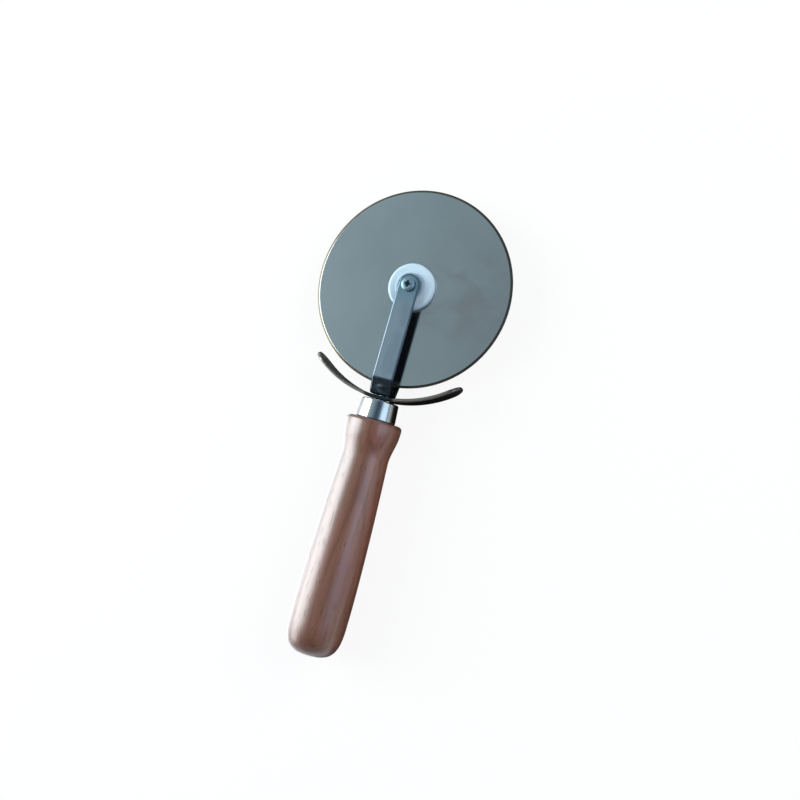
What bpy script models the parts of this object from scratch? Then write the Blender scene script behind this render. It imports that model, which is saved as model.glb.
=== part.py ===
"""Pizza cutter with a turned wooden handle, lying flat.

Metres, +Z up. The wheel's axle runs along Z and the handle along Y, wheel end at +Y. The origin is under
the middle of the tool, on the plane that the handle's belly rests on.

Two empties carry the pieces. "tool_axis" lies on the handle's axis at the wood's shoulder, so a station
along the tool is a local Y. "wheel_axis" is its child at the axle, and what spins has its origin there.
"""

import math

import bmesh
import bpy
from mathutils import Matrix, Vector

# Clearances
SEAT_GAP = 0.0003
RUNNING_CLEARANCE = 0.00025
CUT_OVERRUN = 0.001
MERGE_DISTANCE = 0.0000001

# Cutting wheel
WHEEL_RADIUS = 0.050
WHEEL_THICKNESS = 0.0010
WHEEL_HOLE_RADIUS = 0.0070
GRIND_WIDTH = 0.0012
EDGE_THICKNESS = 0.00012

# Nylon hub, one flanged bush on each side of the wheel
FLANGE_RADIUS = 0.0118
FLANGE_THICKNESS = 0.0033
FLANGE_ROUND = 0.0011
FLANGE_FOOT_ROUND = 0.0003
BOSS_RADIUS = 0.0077
BOSS_HEIGHT = 0.0003
BOSS_ROUND = 0.0002
SPIGOT_SETBACK = 0.00015

# Steel washers between hub and fork
WASHER_RADIUS = 0.0066
WASHER_THICKNESS = 0.0011
WASHER_ROUND = 0.0003

# Axle: a barrel nut with a head at the back, and a cross-recessed screw in it from the front
POST_RADIUS = 0.0026
POST_HEAD_RADIUS = 0.0046
POST_HEAD_HEIGHT = 0.0018
POST_HEAD_ROUND = 0.0006
SLOT_WIDTH = 0.0011
SLOT_DEPTH = 0.0008
SCREW_RADIUS = 0.0015
SCREW_LENGTH = 0.0100
SCREW_CHAMFER = 0.0004
THREAD_SPARE = 0.0015
SCREW_HEAD_RADIUS = 0.0034
SCREW_HEAD_HEIGHT = 0.0021
SCREW_HEAD_SIDE = 0.0008
SCREW_CROWN_RADIUS = 0.0014
RECESS_SPAN = 0.0013
RECESS_WIDTH = 0.0007
RECESS_DEPTH = 0.0012
RECESS_FLOOR_SHARE = 0.55

# Fork: one strap, rounded at both ends and bent round the wheel
STRAP_WIDTH = 0.0107
STRAP_THICKNESS = 0.0016
STRAP_MARGIN = 0.0011
STRAP_MARGIN_DROP = 0.00045
STRAP_BURR_ROUND = 0.0002
FORK_BEND_RADIUS = 0.0020
SHOULDER_RISE = 0.0076
GUSSET_HALF_WIDTH = 0.0038
GUSSET_HALF_LENGTH = 0.0032
GUSSET_HEIGHT = 0.00055
RIM_CLEARANCE = 0.0019

# Finger guard: one strap, bent to an arc
GUARD_LENGTH = 0.0836
GUARD_WIDTH = 0.0130
GUARD_THICKNESS = 0.0018
GUARD_MARGIN = 0.0005
GUARD_MARGIN_DROP = 0.0003
GUARD_CLEARANCE = 0.0035

# Tang: a headed rod through fork, guard and ferrule into the handle
TANG_RADIUS = 0.0019
TANG_LENGTH = 0.0560
TANG_HEAD_RADIUS = 0.0031
TANG_HEAD_HEIGHT = 0.0016
TANG_HEAD_SIDE = 0.0004
TANG_POINT_LENGTH = 0.0035
TANG_POINT_RADIUS = 0.0004
TANG_RING_DEPTH = 0.00025
TANG_RING_PITCH = 0.0028
TANG_RING_START = 0.0240
TANG_RING_COUNT = 7
TANG_END_SPARE = 0.0020

# Ferrule: a drawn cup, slightly wider at the wood
FERRULE_LENGTH = 0.0096
FERRULE_TOP_RADIUS = 0.0092
FERRULE_FOOT_RADIUS = 0.0099
FERRULE_WALL = 0.0008
FERRULE_TOP_ROUND = 0.0009
FERRULE_FOOT_ROUND = 0.0003

# Handle: turned wood
HANDLE_LENGTH = 0.1172
SHOULDER_RADIUS = 0.01385
SHOULDER_ROUND = 0.0026
SHOULDER_BEAD = 0.0038
NECK_RADIUS = 0.0118
NECK_STATION = 0.0188
BELLY_RADIUS = 0.01425
BELLY_STATION = 0.0955
BUTT_FULLNESS = 3.6
SPIGOT_CHAMFER = 0.0006

# Facets
WHEEL_SIDES = 96
HANDLE_SIDES = 56
HUB_SIDES = 48
FERRULE_SIDES = 48
SMALL_SIDES = 32
TANG_SIDES = 20
FILLET_STEPS = 3
TIP_STEPS = 12
BEND_STEPS = 4
GUARD_STEPS = 26
GUSSET_STEPS = 6
NECK_STEPS = 6
BODY_STEPS = 8
BUTT_STEPS = 9
SHARP_ANGLE = math.radians(34)

# Levels above and below the wheel's middle plane
FLANGE_LOW = WHEEL_THICKNESS / 2 + SEAT_GAP
FLANGE_HIGH = FLANGE_LOW + FLANGE_THICKNESS
BOSS_HIGH = FLANGE_HIGH + BOSS_HEIGHT
WASHER_LOW = BOSS_HIGH + SEAT_GAP
WASHER_HIGH = WASHER_LOW + WASHER_THICKNESS
ARM_LOW = WASHER_HIGH + SEAT_GAP
ARM_HIGH = ARM_LOW + STRAP_THICKNESS
HEAD_LOW = ARM_HIGH + SEAT_GAP

# Stations along the tool, from the wood's shoulder towards the wheel
FERRULE_LOW = SEAT_GAP
FERRULE_HIGH = FERRULE_LOW + FERRULE_LENGTH
GUARD_LOW = FERRULE_HIGH + SEAT_GAP
GUARD_HIGH = GUARD_LOW + GUARD_THICKNESS
GUARD_RADIUS = WHEEL_RADIUS + GUARD_CLEARANCE
SEAT_HALF_WIDTH = STRAP_WIDTH / 2 - STRAP_MARGIN
SEAT_RISE = GUARD_RADIUS - math.sqrt(GUARD_RADIUS**2 - SEAT_HALF_WIDTH**2)
FORK_LOW = GUARD_HIGH + SEAT_RISE + SEAT_GAP
FORK_HIGH = FORK_LOW + STRAP_THICKNESS
TANG_HEAD_LOW = FORK_HIGH + SEAT_GAP
TANG_HEAD_HIGH = TANG_HEAD_LOW + TANG_HEAD_HEIGHT
AXLE_STATION = TANG_HEAD_HIGH + RIM_CLEARANCE + WHEEL_RADIUS
TANG_HOLE_RADIUS = TANG_RADIUS + SEAT_GAP
POST_HOLE_RADIUS = POST_RADIUS + SEAT_GAP


def clear_scene():
    """Remove every object of the open scene."""
    for item in list(bpy.data.objects):
        bpy.data.objects.remove(item, do_unlink=True)


def finish(name, colour, roughness, metallic):
    """A Principled material."""
    material = bpy.data.materials.new(name)
    material.use_nodes = True
    shader = material.node_tree.nodes["Principled BSDF"]
    shader.inputs["Base Color"].default_value = (*colour, 1)
    shader.inputs["Roughness"].default_value = roughness
    shader.inputs["Metallic"].default_value = metallic
    return material


def axis_empty(name, parent, location):
    """An empty that carries pieces on an axis."""
    empty = bpy.data.objects.new(name, None)
    bpy.context.scene.collection.objects.link(empty)
    empty.parent = parent
    empty.location = location
    return empty


def place(name, shape, material, parent, location=(0, 0, 0), rotation=(0, 0, 0)):
    """Put a mesh, or a bmesh that becomes one, in the scene as an object."""
    mesh = shape
    if isinstance(shape, bmesh.types.BMesh):
        bmesh.ops.recalc_face_normals(shape, faces=shape.faces)
        mesh = bpy.data.meshes.new(name)
        shape.to_mesh(mesh)
        shape.free()
        mesh.shade_smooth()
        mesh.set_sharp_from_angle(angle=SHARP_ANGLE)
        if material:
            mesh.materials.append(material)
    piece = bpy.data.objects.new(name, mesh)
    bpy.context.scene.collection.objects.link(piece)
    piece.parent = parent
    piece.location = location
    piece.rotation_euler = rotation
    return piece


def cut(piece, tool):
    """Take a tool's shape out of a piece, with the tool kept as a guide."""
    tool.hide_render = True
    tool.display_type = "WIRE"
    modifier = piece.modifiers.new(tool.name, "BOOLEAN")
    modifier.operation = "DIFFERENCE"
    modifier.solver = "EXACT"
    modifier.object = tool


def rounded(corners, ring):
    """Outline through corners of (radius, height, rounding), each rounding drawn as an arc.

    A ring closes on itself, and an open outline keeps its two ends as they are.
    """
    points = [Vector(corner[:2]) for corner in corners]
    outline = []
    for index, corner in enumerate(corners):
        here = points[index]
        at_end = not ring and index in (0, len(corners) - 1)
        if at_end or len(corner) < 3:
            outline.append(here)
            continue
        back = points[index - 1] - here
        ahead = points[(index + 1) % len(points)] - here
        half_angle = back.angle(ahead) / 2
        reach = min(corner[2] / math.tan(half_angle), back.length / 2, ahead.length / 2)
        middle = back.normalized() + ahead.normalized()
        centre = here + middle.normalized() * (reach / math.cos(half_angle))
        start = here + back.normalized() * reach - centre
        sweep = start.angle_signed(here + ahead.normalized() * reach - centre)
        for step in range(FILLET_STEPS + 1):
            turn = Matrix.Rotation(-sweep * step / FILLET_STEPS, 2)
            outline.append(centre + turn @ start)
    return outline


def turned(outline, sides, ring):
    """A body turned about Z from an outline of (radius, height) points, as a bmesh."""
    shape = bmesh.new()
    verts = [shape.verts.new((radius, 0, height)) for radius, height in outline]
    following = verts[1:] + verts[:1] if ring else verts[1:]
    edges = [shape.edges.new(pair) for pair in zip(verts, following)]
    bmesh.ops.spin(
        shape, geom=verts + edges, cent=(0, 0, 0), axis=(0, 0, 1), angle=math.tau, steps=sides, use_merge=True
    )
    bmesh.ops.remove_doubles(shape, verts=shape.verts, dist=MERGE_DISTANCE)
    return shape


def drill(name, radius, low, high, parent, location=(0, 0, 0), rotation=(0, 0, 0)):
    """A round cutting tool along its local Z, from low to high, with an overrun at each end."""
    low -= CUT_OVERRUN
    high += CUT_OVERRUN
    outline = [(0, high), (radius, high), (radius, low), (0, low)]
    return place(name, turned(outline, SMALL_SIDES, ring=False), None, parent, location, rotation)


def strap_blank(length, width, thickness, outer_margin, inner_margin):
    """The flat blank of a strap with round ends: X along it, outer face up, at Z from 0 to its thickness.

    A margin is (width, drop): the strip along an edge over which the face falls away.
    """
    outer_width, outer_drop = outer_margin
    inner_width, inner_drop = inner_margin
    blank = bmesh.new()
    tip_radius = width / 2
    half_run = length / 2 - tip_radius
    outline = []
    for end in (1, -1):
        for step in range(TIP_STEPS + 1):
            angle = math.pi * (step / TIP_STEPS - 1 / 2)
            along = end * (half_run + tip_radius * math.cos(angle))
            outline.append(blank.verts.new((along, end * tip_radius * math.sin(angle), inner_drop)))
    inner_face = blank.faces.new(outline)
    raised = bmesh.ops.extrude_face_region(blank, geom=[inner_face])["geom"]
    risen = [item for item in raised if isinstance(item, bmesh.types.BMVert)]
    bmesh.ops.translate(blank, verts=risen, vec=(0, 0, thickness - inner_drop - outer_drop))
    bmesh.ops.recalc_face_normals(blank, faces=blank.faces)
    outer_face = max(blank.faces, key=lambda face: face.calc_center_median().z)
    inner_face = min(blank.faces, key=lambda face: face.calc_center_median().z)
    bmesh.ops.inset_region(blank, faces=[outer_face], thickness=outer_width, depth=outer_drop)
    bmesh.ops.inset_region(blank, faces=[inner_face], thickness=inner_width, depth=inner_drop)
    return blank


def score(blank, stations, direction, faces=None):
    """Cut edges into a blank at each station along a direction, over all of it or over some faces."""
    for station in stations:
        chosen = blank.faces[:] if faces is None else faces()
        geometry = {item for face in chosen for item in (*face.verts, *face.edges, face)}
        bmesh.ops.bisect_plane(
            blank, geom=list(geometry), plane_co=Vector(direction) * station, plane_no=direction, dist=MERGE_DISTANCE
        )


def walk(course, station):
    """Place and heading at a station on a course of (length, turn) legs, which starts along +X."""
    here = Vector((0, 0))
    heading = 0
    for length, turn in course:
        step = min(station, length)
        swept = turn * step / length
        if turn:
            radius = length / turn
            here.x += radius * (math.sin(heading + swept) - math.sin(heading))
            here.y += radius * (math.cos(heading) - math.cos(heading + swept))
        else:
            here += Vector((math.cos(heading), math.sin(heading))) * step
        heading += swept
        station -= step
        if station <= 0:
            break
    return here, heading


def bend(blank, course, thickness, lay, relief=None):
    """Bend a blank to a course that both halves follow from the middle, outer face outside.

    The lay says where (along the course's X, along its Y, across the strap) goes, and a relief
    gives how far the press pushes the strap outwards at a station and place across it.
    """
    for vert in blank.verts:
        station, across, depth = vert.co
        side = math.copysign(1, station)
        here, heading = walk(course, abs(station))
        out = depth - thickness / 2
        if relief:
            out += relief(abs(station), across)
        vert.co = lay(side * (here.x + math.sin(heading) * out), here.y - math.cos(heading) * out, across)


def cutting_wheel(steel, wheel_axis):
    """Thin disc, ground from both faces to its rim."""
    high = WHEEL_THICKNESS / 2
    edge = EDGE_THICKNESS / 2
    ground = WHEEL_RADIUS - GRIND_WIDTH
    outline = [
        (WHEEL_HOLE_RADIUS, high),
        (ground, high),
        (WHEEL_RADIUS, edge),
        (WHEEL_RADIUS, -edge),
        (ground, -high),
        (WHEEL_HOLE_RADIUS, -high),
    ]
    place("cutting_wheel", turned(outline, WHEEL_SIDES, ring=True), steel, wheel_axis)


def hub(nylon, wheel_axis):
    """Flanged bush, twice: its spigot fills half of the wheel's hole, and its bore runs on the post."""
    bore = POST_RADIUS + RUNNING_CLEARANCE
    spigot = WHEEL_HOLE_RADIUS - SEAT_GAP
    outline = rounded(
        [
            (bore, BOSS_HIGH),
            (BOSS_RADIUS, BOSS_HIGH, BOSS_ROUND),
            (BOSS_RADIUS + BOSS_HEIGHT, FLANGE_HIGH),
            (FLANGE_RADIUS, FLANGE_HIGH, FLANGE_ROUND),
            (FLANGE_RADIUS, FLANGE_LOW, FLANGE_FOOT_ROUND),
            (spigot, FLANGE_LOW),
            (spigot, SPIGOT_SETBACK),
            (bore, SPIGOT_SETBACK),
        ],
        ring=True,
    )
    front = place("hub_front", turned(outline, HUB_SIDES, ring=True), nylon, wheel_axis)
    place("hub_back", front.data, nylon, wheel_axis, rotation=(math.pi, 0, 0))


def washers(steel, axle):
    """Flat washers between the hub and the two arms."""
    outline = rounded(
        [
            (POST_HOLE_RADIUS, WASHER_HIGH),
            (WASHER_RADIUS, WASHER_HIGH, WASHER_ROUND),
            (WASHER_RADIUS, WASHER_LOW),
            (POST_HOLE_RADIUS, WASHER_LOW),
        ],
        ring=True,
    )
    front = place("washer_front", turned(outline, SMALL_SIDES, ring=True), steel, axle)
    place("washer_back", front.data, steel, axle, rotation=(math.pi, 0, 0))


def axle_post(steel, axle):
    """Barrel nut: the smooth barrel is the axle, its flat slotted head bears on the back arm."""
    bore = SCREW_RADIUS + SEAT_GAP
    barrel_end = ARM_HIGH - SEAT_GAP
    bore_floor = HEAD_LOW - SCREW_LENGTH - THREAD_SPARE
    head_low = -HEAD_LOW - POST_HEAD_HEIGHT
    outline = rounded(
        [
            (0, bore_floor),
            (bore, bore_floor),
            (bore, barrel_end),
            (POST_RADIUS, barrel_end),
            (POST_RADIUS, -HEAD_LOW),
            (POST_HEAD_RADIUS, -HEAD_LOW),
            (POST_HEAD_RADIUS, head_low, POST_HEAD_ROUND),
            (0, head_low),
        ],
        ring=False,
    )
    post = place("axle_post", turned(outline, SMALL_SIDES, ring=False), steel, axle)
    slot = bmesh.new()
    bmesh.ops.create_cube(slot, size=1)
    slot_length = 2 * (POST_HEAD_RADIUS + CUT_OVERRUN)
    slot_height = SLOT_DEPTH + CUT_OVERRUN
    bmesh.ops.scale(slot, verts=slot.verts, vec=(SLOT_WIDTH, slot_length, slot_height))
    slot_middle = head_low + SLOT_DEPTH - slot_height / 2
    cut(post, place("slot_tool", slot, None, axle, location=(0, 0, slot_middle)))


def recess_outline(span, width, height, shape):
    """The twelve corners of a cross, counter-clockwise."""
    corners = []
    for quarter in range(4):
        turn = Matrix.Rotation(quarter * math.pi / 2, 3, "Z")
        for corner in ((span, -width), (span, width), (width, width)):
            corners.append(shape.verts.new(turn @ Vector((*corner, height))))
    return corners


def axle_screw(steel, axle):
    """Pan-head machine screw with a tapering cross recess."""
    crown = HEAD_LOW + SCREW_HEAD_HEIGHT
    side = HEAD_LOW + SCREW_HEAD_SIDE
    end = HEAD_LOW - SCREW_LENGTH
    dome = [(0, crown)]
    for step in range(FILLET_STEPS + 2):
        angle = math.pi / 2 * (1 - step / (FILLET_STEPS + 1))
        radius = SCREW_CROWN_RADIUS + (SCREW_HEAD_RADIUS - SCREW_CROWN_RADIUS) * math.cos(angle)
        dome.append((radius, side + (crown - side) * math.sin(angle)))
    outline = dome + [
        (SCREW_HEAD_RADIUS, HEAD_LOW),
        (SCREW_RADIUS, HEAD_LOW),
        (SCREW_RADIUS, end + SCREW_CHAMFER),
        (SCREW_RADIUS - SCREW_CHAMFER, end),
        (0, end),
    ]
    screw = place("axle_screw", turned(outline, SMALL_SIDES, ring=False), steel, axle)
    recess = bmesh.new()
    floor_share = RECESS_FLOOR_SHARE
    flare = 1 + (1 - floor_share) * CUT_OVERRUN / RECESS_DEPTH
    mouth = recess_outline(RECESS_SPAN * flare, RECESS_WIDTH / 2 * flare, crown + CUT_OVERRUN, recess)
    floor = recess_outline(
        RECESS_SPAN * floor_share, RECESS_WIDTH / 2 * floor_share, crown - RECESS_DEPTH, recess
    )
    recess.faces.new(mouth)
    recess.faces.new(reversed(floor))
    for index in range(len(mouth)):
        after = (index + 1) % len(mouth)
        recess.faces.new((mouth[index], floor[index], floor[after], mouth[after]))
    cut(screw, place("recess_tool", recess, None, axle))


def fork(steel, tool_axis):
    """U-shaped fork bent from one strap: base on the guard, pressed shoulders, arms past the wheel.

    The base is as wide as the tang's head needs and the arms as far apart as the hub needs, so the
    shoulders' lean follows from the two.
    """
    base_half = TANG_HEAD_RADIUS + SEAT_GAP
    arm_offset = ARM_LOW + STRAP_THICKNESS / 2
    spread = arm_offset - base_half - FORK_BEND_RADIUS
    climb = SHOULDER_RISE - FORK_BEND_RADIUS
    lean = math.atan2(spread, climb)
    shoulder_run = math.hypot(spread, climb)
    lower_bend = FORK_BEND_RADIUS * (math.pi / 2 - lean)
    upper_bend = FORK_BEND_RADIUS * lean
    middle_station = FORK_LOW + STRAP_THICKNESS / 2
    arm_run = AXLE_STATION - middle_station - SHOULDER_RISE + STRAP_WIDTH / 2
    course = [
        (base_half, 0),
        (lower_bend, math.pi / 2 - lean),
        (shoulder_run, 0),
        (upper_bend, lean),
        (arm_run, 0),
    ]
    shoulder_start = base_half + lower_bend
    shoulder_end = shoulder_start + shoulder_run
    half_length = shoulder_end + upper_bend + arm_run
    blank = strap_blank(
        2 * half_length,
        STRAP_WIDTH,
        STRAP_THICKNESS,
        (STRAP_MARGIN, STRAP_MARGIN_DROP),
        (STRAP_BURR_ROUND, STRAP_BURR_ROUND),
    )
    stations = [base_half + lower_bend * step / BEND_STEPS for step in range(BEND_STEPS)]
    stations += [shoulder_start + shoulder_run * step / GUSSET_STEPS for step in range(GUSSET_STEPS)]
    stations += [shoulder_end, shoulder_end + upper_bend / 2, shoulder_end + upper_bend]
    score(blank, [side * station for station in stations for side in (1, -1)], (1, 0, 0))

    def pressed_faces():
        """The faces of the two shoulders, without the strap's edges."""
        chosen = []
        for face in blank.faces:
            middle = face.calc_center_median()
            on_face = abs(face.normal.z) > 1 / 2
            if on_face and shoulder_start < abs(middle.x) < shoulder_end and abs(middle.y) < SEAT_HALF_WIDTH:
                chosen.append(face)
        return chosen

    columns = [GUSSET_HALF_WIDTH * (2 * step / GUSSET_STEPS - 1) for step in range(GUSSET_STEPS + 1)]
    blank.normal_update()
    score(blank, columns, (0, 1, 0), pressed_faces)
    gusset_middle = shoulder_start + GUSSET_HALF_LENGTH

    def gusset(station, across):
        """Height of the stiffening gusset pressed out of each shoulder."""
        distance = math.hypot((station - gusset_middle) / GUSSET_HALF_LENGTH, across / GUSSET_HALF_WIDTH)
        return GUSSET_HEIGHT * math.cos(math.pi / 2 * min(distance, 1)) ** 2

    bend(blank, course, STRAP_THICKNESS, lambda along, rise, across: (across, rise, along), gusset)
    piece = place("fork", blank, steel, tool_axis, location=(0, middle_station, 0))
    cut(
        piece,
        drill("axle_drill", POST_HOLE_RADIUS, -ARM_HIGH, ARM_HIGH, tool_axis, location=(0, AXLE_STATION, 0)),
    )
    lying = (-math.pi / 2, 0, 0)
    cut(piece, drill("fork_tang_drill", TANG_HOLE_RADIUS, FORK_LOW, FORK_HIGH, tool_axis, rotation=lying))


def guard(steel, tool_axis):
    """Finger guard: a strap with round ends, bent to an arc that follows the wheel's rim."""
    middle_radius = GUARD_RADIUS + GUARD_THICKNESS / 2
    half_length = GUARD_LENGTH / 2
    margin = (GUARD_MARGIN, GUARD_MARGIN_DROP)
    blank = strap_blank(GUARD_LENGTH, GUARD_WIDTH, GUARD_THICKNESS, margin, margin)
    stations = [GUARD_LENGTH * (step / GUARD_STEPS - 1 / 2) for step in range(1, GUARD_STEPS)]
    score(blank, stations, (1, 0, 0))
    course = [(half_length, half_length / middle_radius)]
    bend(blank, course, GUARD_THICKNESS, lambda along, rise, across: (along, rise, across))
    piece = place("guard", blank, steel, tool_axis, location=(0, GUARD_LOW + GUARD_THICKNESS / 2, 0))
    lying = (-math.pi / 2, 0, 0)
    cut(piece, drill("guard_tang_drill", TANG_HOLE_RADIUS, GUARD_LOW, GUARD_HIGH, tool_axis, rotation=lying))


def tang(steel, tool_axis):
    """Headed rod with driven rings and a point, which holds fork, guard and ferrule to the handle."""
    outline = [(0, TANG_HEAD_HIGH)]
    side = TANG_HEAD_LOW + TANG_HEAD_SIDE
    for step in range(1, FILLET_STEPS + 2):
        angle = math.pi / 2 * (1 - step / (FILLET_STEPS + 1))
        rise = (TANG_HEAD_HIGH - side) * math.sin(angle)
        outline.append((TANG_HEAD_RADIUS * math.cos(angle), side + rise))
    outline += [(TANG_HEAD_RADIUS, TANG_HEAD_LOW), (TANG_RADIUS, TANG_HEAD_LOW)]
    for ring in range(TANG_RING_COUNT):
        crest = TANG_HEAD_LOW - TANG_RING_START - ring * TANG_RING_PITCH
        outline += [(TANG_RADIUS, crest), (TANG_RADIUS - TANG_RING_DEPTH, crest - TANG_RING_DEPTH)]
    end = TANG_HEAD_LOW - TANG_LENGTH
    outline += [(TANG_RADIUS, end + TANG_POINT_LENGTH), (TANG_POINT_RADIUS, end), (0, end)]
    lying = (-math.pi / 2, 0, 0)
    place("tang", turned(outline, TANG_SIDES, ring=False), steel, tool_axis, rotation=lying)


def ferrule(nickel, tool_axis):
    """Drawn cup over the handle's spigot, with a hole for the tang in its top."""
    outline = rounded(
        [
            (TANG_HOLE_RADIUS, FERRULE_HIGH),
            (FERRULE_TOP_RADIUS, FERRULE_HIGH, FERRULE_TOP_ROUND),
            (FERRULE_FOOT_RADIUS, FERRULE_LOW, FERRULE_FOOT_ROUND),
            (FERRULE_FOOT_RADIUS - FERRULE_WALL, FERRULE_LOW),
            (FERRULE_TOP_RADIUS - FERRULE_WALL, FERRULE_HIGH - FERRULE_WALL),
            (TANG_HOLE_RADIUS, FERRULE_HIGH - FERRULE_WALL),
        ],
        ring=True,
    )
    lying = (-math.pi / 2, 0, 0)
    place("ferrule", turned(outline, FERRULE_SIDES, ring=True), nickel, tool_axis, rotation=lying)


def handle_body():
    """The handle's outline from its shoulder bead to the end of its butt, as (radius, station)."""
    middle = (SHOULDER_RADIUS + NECK_RADIUS) / 2
    swing = (SHOULDER_RADIUS - NECK_RADIUS) / 2
    outline = []
    for step in range(NECK_STEPS):
        share = step / NECK_STEPS
        station = SHOULDER_BEAD + (NECK_STATION - SHOULDER_BEAD) * share
        outline.append((middle + swing * math.cos(math.pi * share), -station))
    for step in range(BODY_STEPS):
        share = step / BODY_STEPS
        station = NECK_STATION + (BELLY_STATION - NECK_STATION) * share
        swell = (BELLY_RADIUS - NECK_RADIUS) * math.sin(math.pi / 2 * share)
        outline.append((NECK_RADIUS + swell, -station))
    power = 2 / BUTT_FULLNESS
    for step in range(BUTT_STEPS):
        angle = math.pi / 2 * step / BUTT_STEPS
        station = BELLY_STATION + (HANDLE_LENGTH - BELLY_STATION) * math.sin(angle) ** power
        outline.append((BELLY_RADIUS * math.cos(angle) ** power, -station))
    outline.append((0, -HANDLE_LENGTH))
    return outline


def handle(wood, tool_axis):
    """Turned handle: spigot inside the ferrule, bead, neck, long swell and full round butt."""
    spigot_radius = FERRULE_TOP_RADIUS - FERRULE_WALL - SEAT_GAP
    spigot_end = FERRULE_HIGH - FERRULE_WALL - SEAT_GAP
    bore_end = TANG_HEAD_LOW - TANG_LENGTH - TANG_END_SPARE
    head = rounded(
        [
            (0, bore_end),
            (TANG_HOLE_RADIUS, bore_end),
            (TANG_HOLE_RADIUS, spigot_end),
            (spigot_radius, spigot_end, SPIGOT_CHAMFER),
            (spigot_radius, 0),
            (SHOULDER_RADIUS, 0, SHOULDER_ROUND),
            (SHOULDER_RADIUS, -SHOULDER_BEAD),
        ],
        ring=False,
    )
    outline = head[:-1] + handle_body()
    lying = (-math.pi / 2, 0, 0)
    place("handle", turned(outline, HANDLE_SIDES, ring=False), wood, tool_axis, rotation=lying)


def main():
    """Build the cutter on its two axes."""
    clear_scene()
    wheel_steel = finish("wheel_steel", (0.42, 0.47, 0.47), 0.34, 1)
    strap_steel = finish("strap_steel", (0.36, 0.41, 0.45), 0.38, 1)
    bright_steel = finish("bright_steel", (0.60, 0.62, 0.64), 0.22, 1)
    nickel = finish("nickel", (0.70, 0.72, 0.74), 0.12, 1)
    nylon = finish("nylon", (0.80, 0.86, 0.90), 0.40, 0)
    wood = finish("stained_wood", (0.22, 0.08, 0.06), 0.42, 0)

    tool_length = HANDLE_LENGTH + AXLE_STATION + WHEEL_RADIUS
    shoulder = HANDLE_LENGTH - tool_length / 2
    tool_axis = axis_empty("tool_axis", None, (0, shoulder, BELLY_RADIUS))
    axle = axis_empty("axle", tool_axis, (0, AXLE_STATION, 0))
    wheel_axis = axis_empty("wheel_axis", axle, (0, 0, 0))

    handle(wood, tool_axis)
    ferrule(nickel, tool_axis)
    guard(strap_steel, tool_axis)
    fork(strap_steel, tool_axis)
    tang(bright_steel, tool_axis)
    axle_post(bright_steel, axle)
    axle_screw(bright_steel, axle)
    washers(bright_steel, axle)
    hub(nylon, wheel_axis)
    cutting_wheel(wheel_steel, wheel_axis)


main()
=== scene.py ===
"""Looks of a pizza cutter with a turned wooden handle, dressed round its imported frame.

Metres, +Z up. The cutter lies flat: the wheel's axle runs along Z, and the handle along Y with the
wheel at +Y. Every mesh is built in place, so an object's own coordinates are the frame's at rest, and
a finish that is written in them turns with its piece.
"""

from __future__ import annotations

import logging
import math
from collections.abc import Callable, Mapping, Sequence
from dataclasses import dataclass, field
from enum import Enum

import bmesh
import bpy
from mathutils import Matrix, Vector, noise


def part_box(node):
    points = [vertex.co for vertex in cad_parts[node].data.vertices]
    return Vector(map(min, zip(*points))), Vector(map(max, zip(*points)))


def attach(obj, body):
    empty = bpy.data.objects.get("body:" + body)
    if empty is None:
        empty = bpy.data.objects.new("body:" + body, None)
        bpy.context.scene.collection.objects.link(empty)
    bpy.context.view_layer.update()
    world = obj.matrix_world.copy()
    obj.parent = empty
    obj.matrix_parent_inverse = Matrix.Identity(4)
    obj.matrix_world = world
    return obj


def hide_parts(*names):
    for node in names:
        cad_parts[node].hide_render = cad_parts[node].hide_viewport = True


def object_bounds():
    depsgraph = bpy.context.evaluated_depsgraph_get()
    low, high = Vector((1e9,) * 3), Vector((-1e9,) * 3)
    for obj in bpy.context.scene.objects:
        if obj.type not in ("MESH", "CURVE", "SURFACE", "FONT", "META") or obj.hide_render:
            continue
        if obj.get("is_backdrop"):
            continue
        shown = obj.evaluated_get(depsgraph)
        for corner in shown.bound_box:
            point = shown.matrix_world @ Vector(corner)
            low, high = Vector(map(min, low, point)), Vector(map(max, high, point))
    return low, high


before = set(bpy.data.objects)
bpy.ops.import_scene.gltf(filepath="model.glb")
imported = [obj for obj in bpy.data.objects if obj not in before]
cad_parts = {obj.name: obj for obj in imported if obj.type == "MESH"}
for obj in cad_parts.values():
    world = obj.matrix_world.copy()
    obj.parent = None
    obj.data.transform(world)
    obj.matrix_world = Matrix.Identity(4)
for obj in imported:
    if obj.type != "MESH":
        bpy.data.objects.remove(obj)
CAD_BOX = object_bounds()

LOG = logging.getLogger("pizza_cutter")
MERGE_DISTANCE = 1e-7
POLE_RADIUS = 1.6e-5
SHARP_ANGLE = math.radians(38)
DRILL_SIDES = 64

Colour = tuple[float, float, float]
Span = tuple[float, float]


class Axis(Enum):
    """A direction about which a piece is turned."""

    TOOL = "along the handle"
    AXLE = "along the wheel's axle"


class Body(Enum):
    """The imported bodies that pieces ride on."""

    FRAME = "handle_frame"
    WHEEL = "wheel"


class Slot(Enum):
    """The material slots."""

    WHEEL = "wheel_steel"
    STRAP = "strap_steel"
    FASTENER = "fastener_steel"
    FERRULE = "ferrule_nickel"
    HUB = "hub_nylon"
    HANDLE = "handle_wood"


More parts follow.
